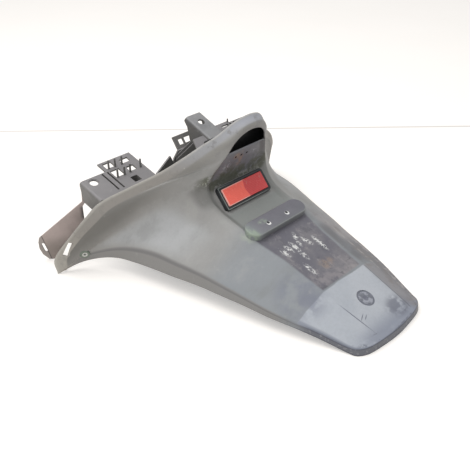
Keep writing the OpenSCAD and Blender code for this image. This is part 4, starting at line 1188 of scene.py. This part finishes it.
hole = round_bar(5.5, -5, 2, lambda p: on_saddle(p + [0, SADDLE_HOLE_Y, 0]), 32)
completed("saddle_bracket", [saddle, trim], SADDLE, 0.5, cuts=[hole], operation="INTERSECT")

shelf_edge = where_skin_meets(saddle_z0 - 4, SADDLE_SLOPE, TOP - 5, TOP)
shelf_outline = with_mirror([(0, 300)] + shelf_edge + [(38, 352)])
shelf = prism(shelf_outline, -PLATE_T, 0, on_slope(SADDLE_Y, SADDLE_Z - 4, SADDLE_SLOPE))
completed("saddle_shelf", [shelf], SHELTERED, 0.4)

# Wall in front of the lamp's cavity, as wide as the skin at its place
lines = middle_skin[15 * PER:TOP * PER + 1:PER]
wall_side = [(p[0], p[2]) for p in crossings(lines, CAVITY_WALL_Y - lines[..., 1])
             if deck_middle(CAVITY_WALL_Y) < p[2] < 203]
wall_outline = with_mirror([(wall_side[0][0] - 1, deck_middle(CAVITY_WALL_Y))] + wall_side
                           + [(wall_side[-1][0] - 8, 212)])
completed("cavity_wall", [prism(wall_outline, 0, PLATE_T, across(CAVITY_WALL_Y + PLATE_T))], SHELTERED, 0.3)

# Web across the front of the deck, with its ribs and its lug
web_outline = with_mirror([(80, 125), (80, 133), (50, 154), (43.5, 140), (42, 147), (33, WEB_TOP)])
web_parts = [prism(web_outline, 0, PLATE_T, across(WEB_Y))]
for rib_y in (396.0, 389.0):
    rib_end = deck_middle(rib_y - RIB_LENGTH * sin(radians(RIB_TURN)))
    rib = [(0, deck_middle(rib_y)), (0, 147), (RIB_LENGTH, 176), (RIB_LENGTH, rib_end)]
    stand = upright((42, rib_y, 0), radians(180 + RIB_TURN))
    web_parts += both(lambda change: prism(rib, 0, 2.4, change(stand)))
web_parts.append(prism(box_loop(-31, -3, 62, 25), -PLATE_T, 0, tilted(WEB_Y, WEB_TOP, LUG_SLOPE),
                       [box_loop(x, 6, w, 9) for x, w in ((-23, 9.5), (-10.5, 21), (13.5, 9.5))]))
completed("web_and_lug", web_parts, SHELTERED, 0.35)

# Arms outside the fingers, each with a slot near its tip and a tie to the lip
arm_outline = [(-5, 124), (-0.5, 124), (0.5, 106), (ARM_LENGTH - 2, 42), (ARM_LENGTH, 34), (ARM_LENGTH, 22),
               (ARM_LENGTH - 4, 11), (ARM_LENGTH - 13, 1.5), (ARM_LENGTH - 21, 1.5), (43, 20), (30, 36),
               (1, 72), (1, 97), (-3, 103)]
stadium = round_arc(ARM_SLOT_HALF, 0, ARM_SLOT_R, -90, 90, 13)
stadium += round_arc(-ARM_SLOT_HALF, 0, ARM_SLOT_R, 90, 270, 13)
lean = radians(ARM_SLOT_LEAN)
arm_slot = [(ARM_SLOT[0] + a * cos(lean) - b * sin(lean), ARM_SLOT[1] + a * sin(lean) + b * cos(lean))
            for a, b in stadium]
for change, side in ((as_drawn, "right"), (mirrored, "left")):
    arm = prism(arm_outline, -PLATE_T, 0, change(upright((*ARM_BACK, 0), ARM_TURN)), [arm_slot])
    tie = prism(box_loop(0, 0, 44, 10), 0, PLATE_T, change(upright((227.2, 481.5, 5), radians(-70))))
    completed("arm_" + side, [arm, tie], ARM, 0.5)


# Reflector: a black housing with a raised lip, and the red lens in it
def on_rise(profile):
    return [(inset, height + SEAT_RISE) for inset, height in profile]


housing_profile = on_rise([(0.6, 0), (0, 0.6), (0, 6.6), (0.5, 7.6), (1.4, 8), (4.4, 8), (5.0, 7.7),
                           (5.5, 7.0), (5.5, 5.5)])
housing = rounded_form(REFLECTOR_HALF_X, REFLECTOR_HALF_Y, 6, housing_profile, at_seat)
stud = turned_form([(2.2, -13.9), (2.5, -13.5), (2.5, 2)], at_seat, 24)
completed("reflector_housing_shell", [housing, stud], FRAME, angle=REFLECTOR_ANGLE,
          node="reflector_housing")
lens = rounded_form(REFLECTOR_HALF_X - LENS_INSET, REFLECTOR_HALF_Y - LENS_INSET, 1.6,
                    on_rise([(0, 5.5), (0, 8.2), (0.25, 8.65), (0.8, 8.8)]), at_seat)
completed("reflector_lens_plate", [lens], LENS, angle=REFLECTOR_ANGLE,
          node="reflector_lens")

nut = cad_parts["reflector_nut"]
for k in range(len(nut.material_slots)):
    nut.material_slots[k].material = ZINC
if not nut.material_slots:
    nut.data.materials.append(ZINC)


# Floor, light and camera
# The seam between floor and wall, as a line on the floor: the way across it and its distance from the origin
SEAM_WAY, SEAM_AT = (0.6987, 0.7154), 0.5353
FLOOR_HALF = 6.0


def white_floor():
    """White paper with a thin seam far behind the fender and a little dust in front of it."""
    s = new_material("white studio floor")
    s.shader["Roughness"].default_value = 0.9
    s.shader["Specular IOR Level"].default_value = 0.1
    x, y, _ = s.split(s.where)
    colour = s.mix(s.noise(3, 3, 0.5), (0.9, 0.88, 0.855), (0.92, 0.9, 0.88))
    across_seam = s.value("ADD", s.value("MULTIPLY", x, SEAM_WAY[0]), s.value("MULTIPLY", y, SEAM_WAY[1]))
    seam = s.window(across_seam, SEAM_AT - 0.002, SEAM_AT + 0.004, 0.003)
    dust = s.mask((s.noise(170, 2, 0.5), 0.735, 0.77),
                  (s.value("ADD", s.value("MULTIPLY", x, 0.8), y), -0.35, 0.05, 0.08))
    dim = s.any(s.value("MULTIPLY", seam, 0.42), s.value("MULTIPLY", dust, 0.5))
    s.link(s.lay(colour, (dim, (0.5, 0.47, 0.44), 1.0)), s.shader["Base Color"])
    path = node_of(s.tree, "ShaderNodeLightPath").outputs
    seen = s.any(*[path[name] for name in ("Is Camera Ray", "Is Glossy Ray", "Is Transmission Ray")])
    glow = node_of(s.tree, "ShaderNodeEmission")
    glow.inputs["Color"].default_value = (1, 1, 1, 1)
    strength = s.value("MULTIPLY", s.value("MULTIPLY", seen, 0.35), s.value("SUBTRACT", 1.0, dim))
    s.link(strength, glow.inputs["Strength"])
    add = node_of(s.tree, "ShaderNodeAddShader")
    s.link(s.tree.nodes["Principled BSDF"].outputs[0], add.inputs[0])
    s.link(glow.outputs[0], add.inputs[1])
    s.link(add.outputs[0], s.tree.nodes["Material Output"].inputs["Surface"])
    return s.material


floor_mesh = bpy.data.meshes.new("floor")
floor_mesh.from_pydata([(x * FLOOR_HALF, y * FLOOR_HALF, 0) for x, y in ((-1, -1), (1, -1), (1, 1), (-1, 1))],
                       [], [(0, 1, 2, 3)])
floor = bpy.data.objects.new("floor", floor_mesh)
floor_mesh.materials.append(white_floor())
bpy.context.scene.collection.objects.link(floor)

# White to the camera, softer to the fender
world = bpy.data.worlds.new("studio")
bpy.context.scene.world = world
world.use_nodes = True
s = Shade(world.node_tree, None)
path = node_of(s.tree, "ShaderNodeLightPath").outputs
level = node_of(s.tree, "ShaderNodeMapRange")
s.link(s.any(path["Is Camera Ray"], path["Is Transmission Ray"]), level.inputs["Value"])
level.inputs["To Min"].default_value = 0.55
level.inputs["To Max"].default_value = 1.0
background = s.tree.nodes["Background"].inputs
background["Color"].default_value = (1, 1, 1, 1)
s.link(level.outputs["Result"], background["Strength"])


def soft_lamp(name, place, width, power):
    """A square area lamp turned to the middle of the fender."""
    data = bpy.data.lights.new(name, "AREA")
    data.shape = "SQUARE"
    data.size = width
    data.energy = power
    lamp = bpy.data.objects.new(name, data)
    lamp.location = place
    lamp.rotation_euler = (Vector((0, 0, 0.1)) - Vector(place)).to_track_quat("-Z", "Y").to_euler()
    bpy.context.scene.collection.objects.link(lamp)


soft_lamp("soft box above", (-0.4, 0.5, 2.0), 1.6, 24)
soft_lamp("soft box beside", (-1.6, -1.2, 1.6), 1.2, 9)

camera_data = bpy.data.cameras.new("camera")
camera_data.lens = 49.79
camera_data.sensor_width = 36
camera = bpy.data.objects.new("camera", camera_data)
camera.location = (-0.656, -0.577129, 0.61)
camera.rotation_euler = (radians(57.3), 0, radians(-45.9))
bpy.context.scene.collection.objects.link(camera)
bpy.context.scene.camera = camera
bpy.context.scene.view_settings.view_transform = "Standard"
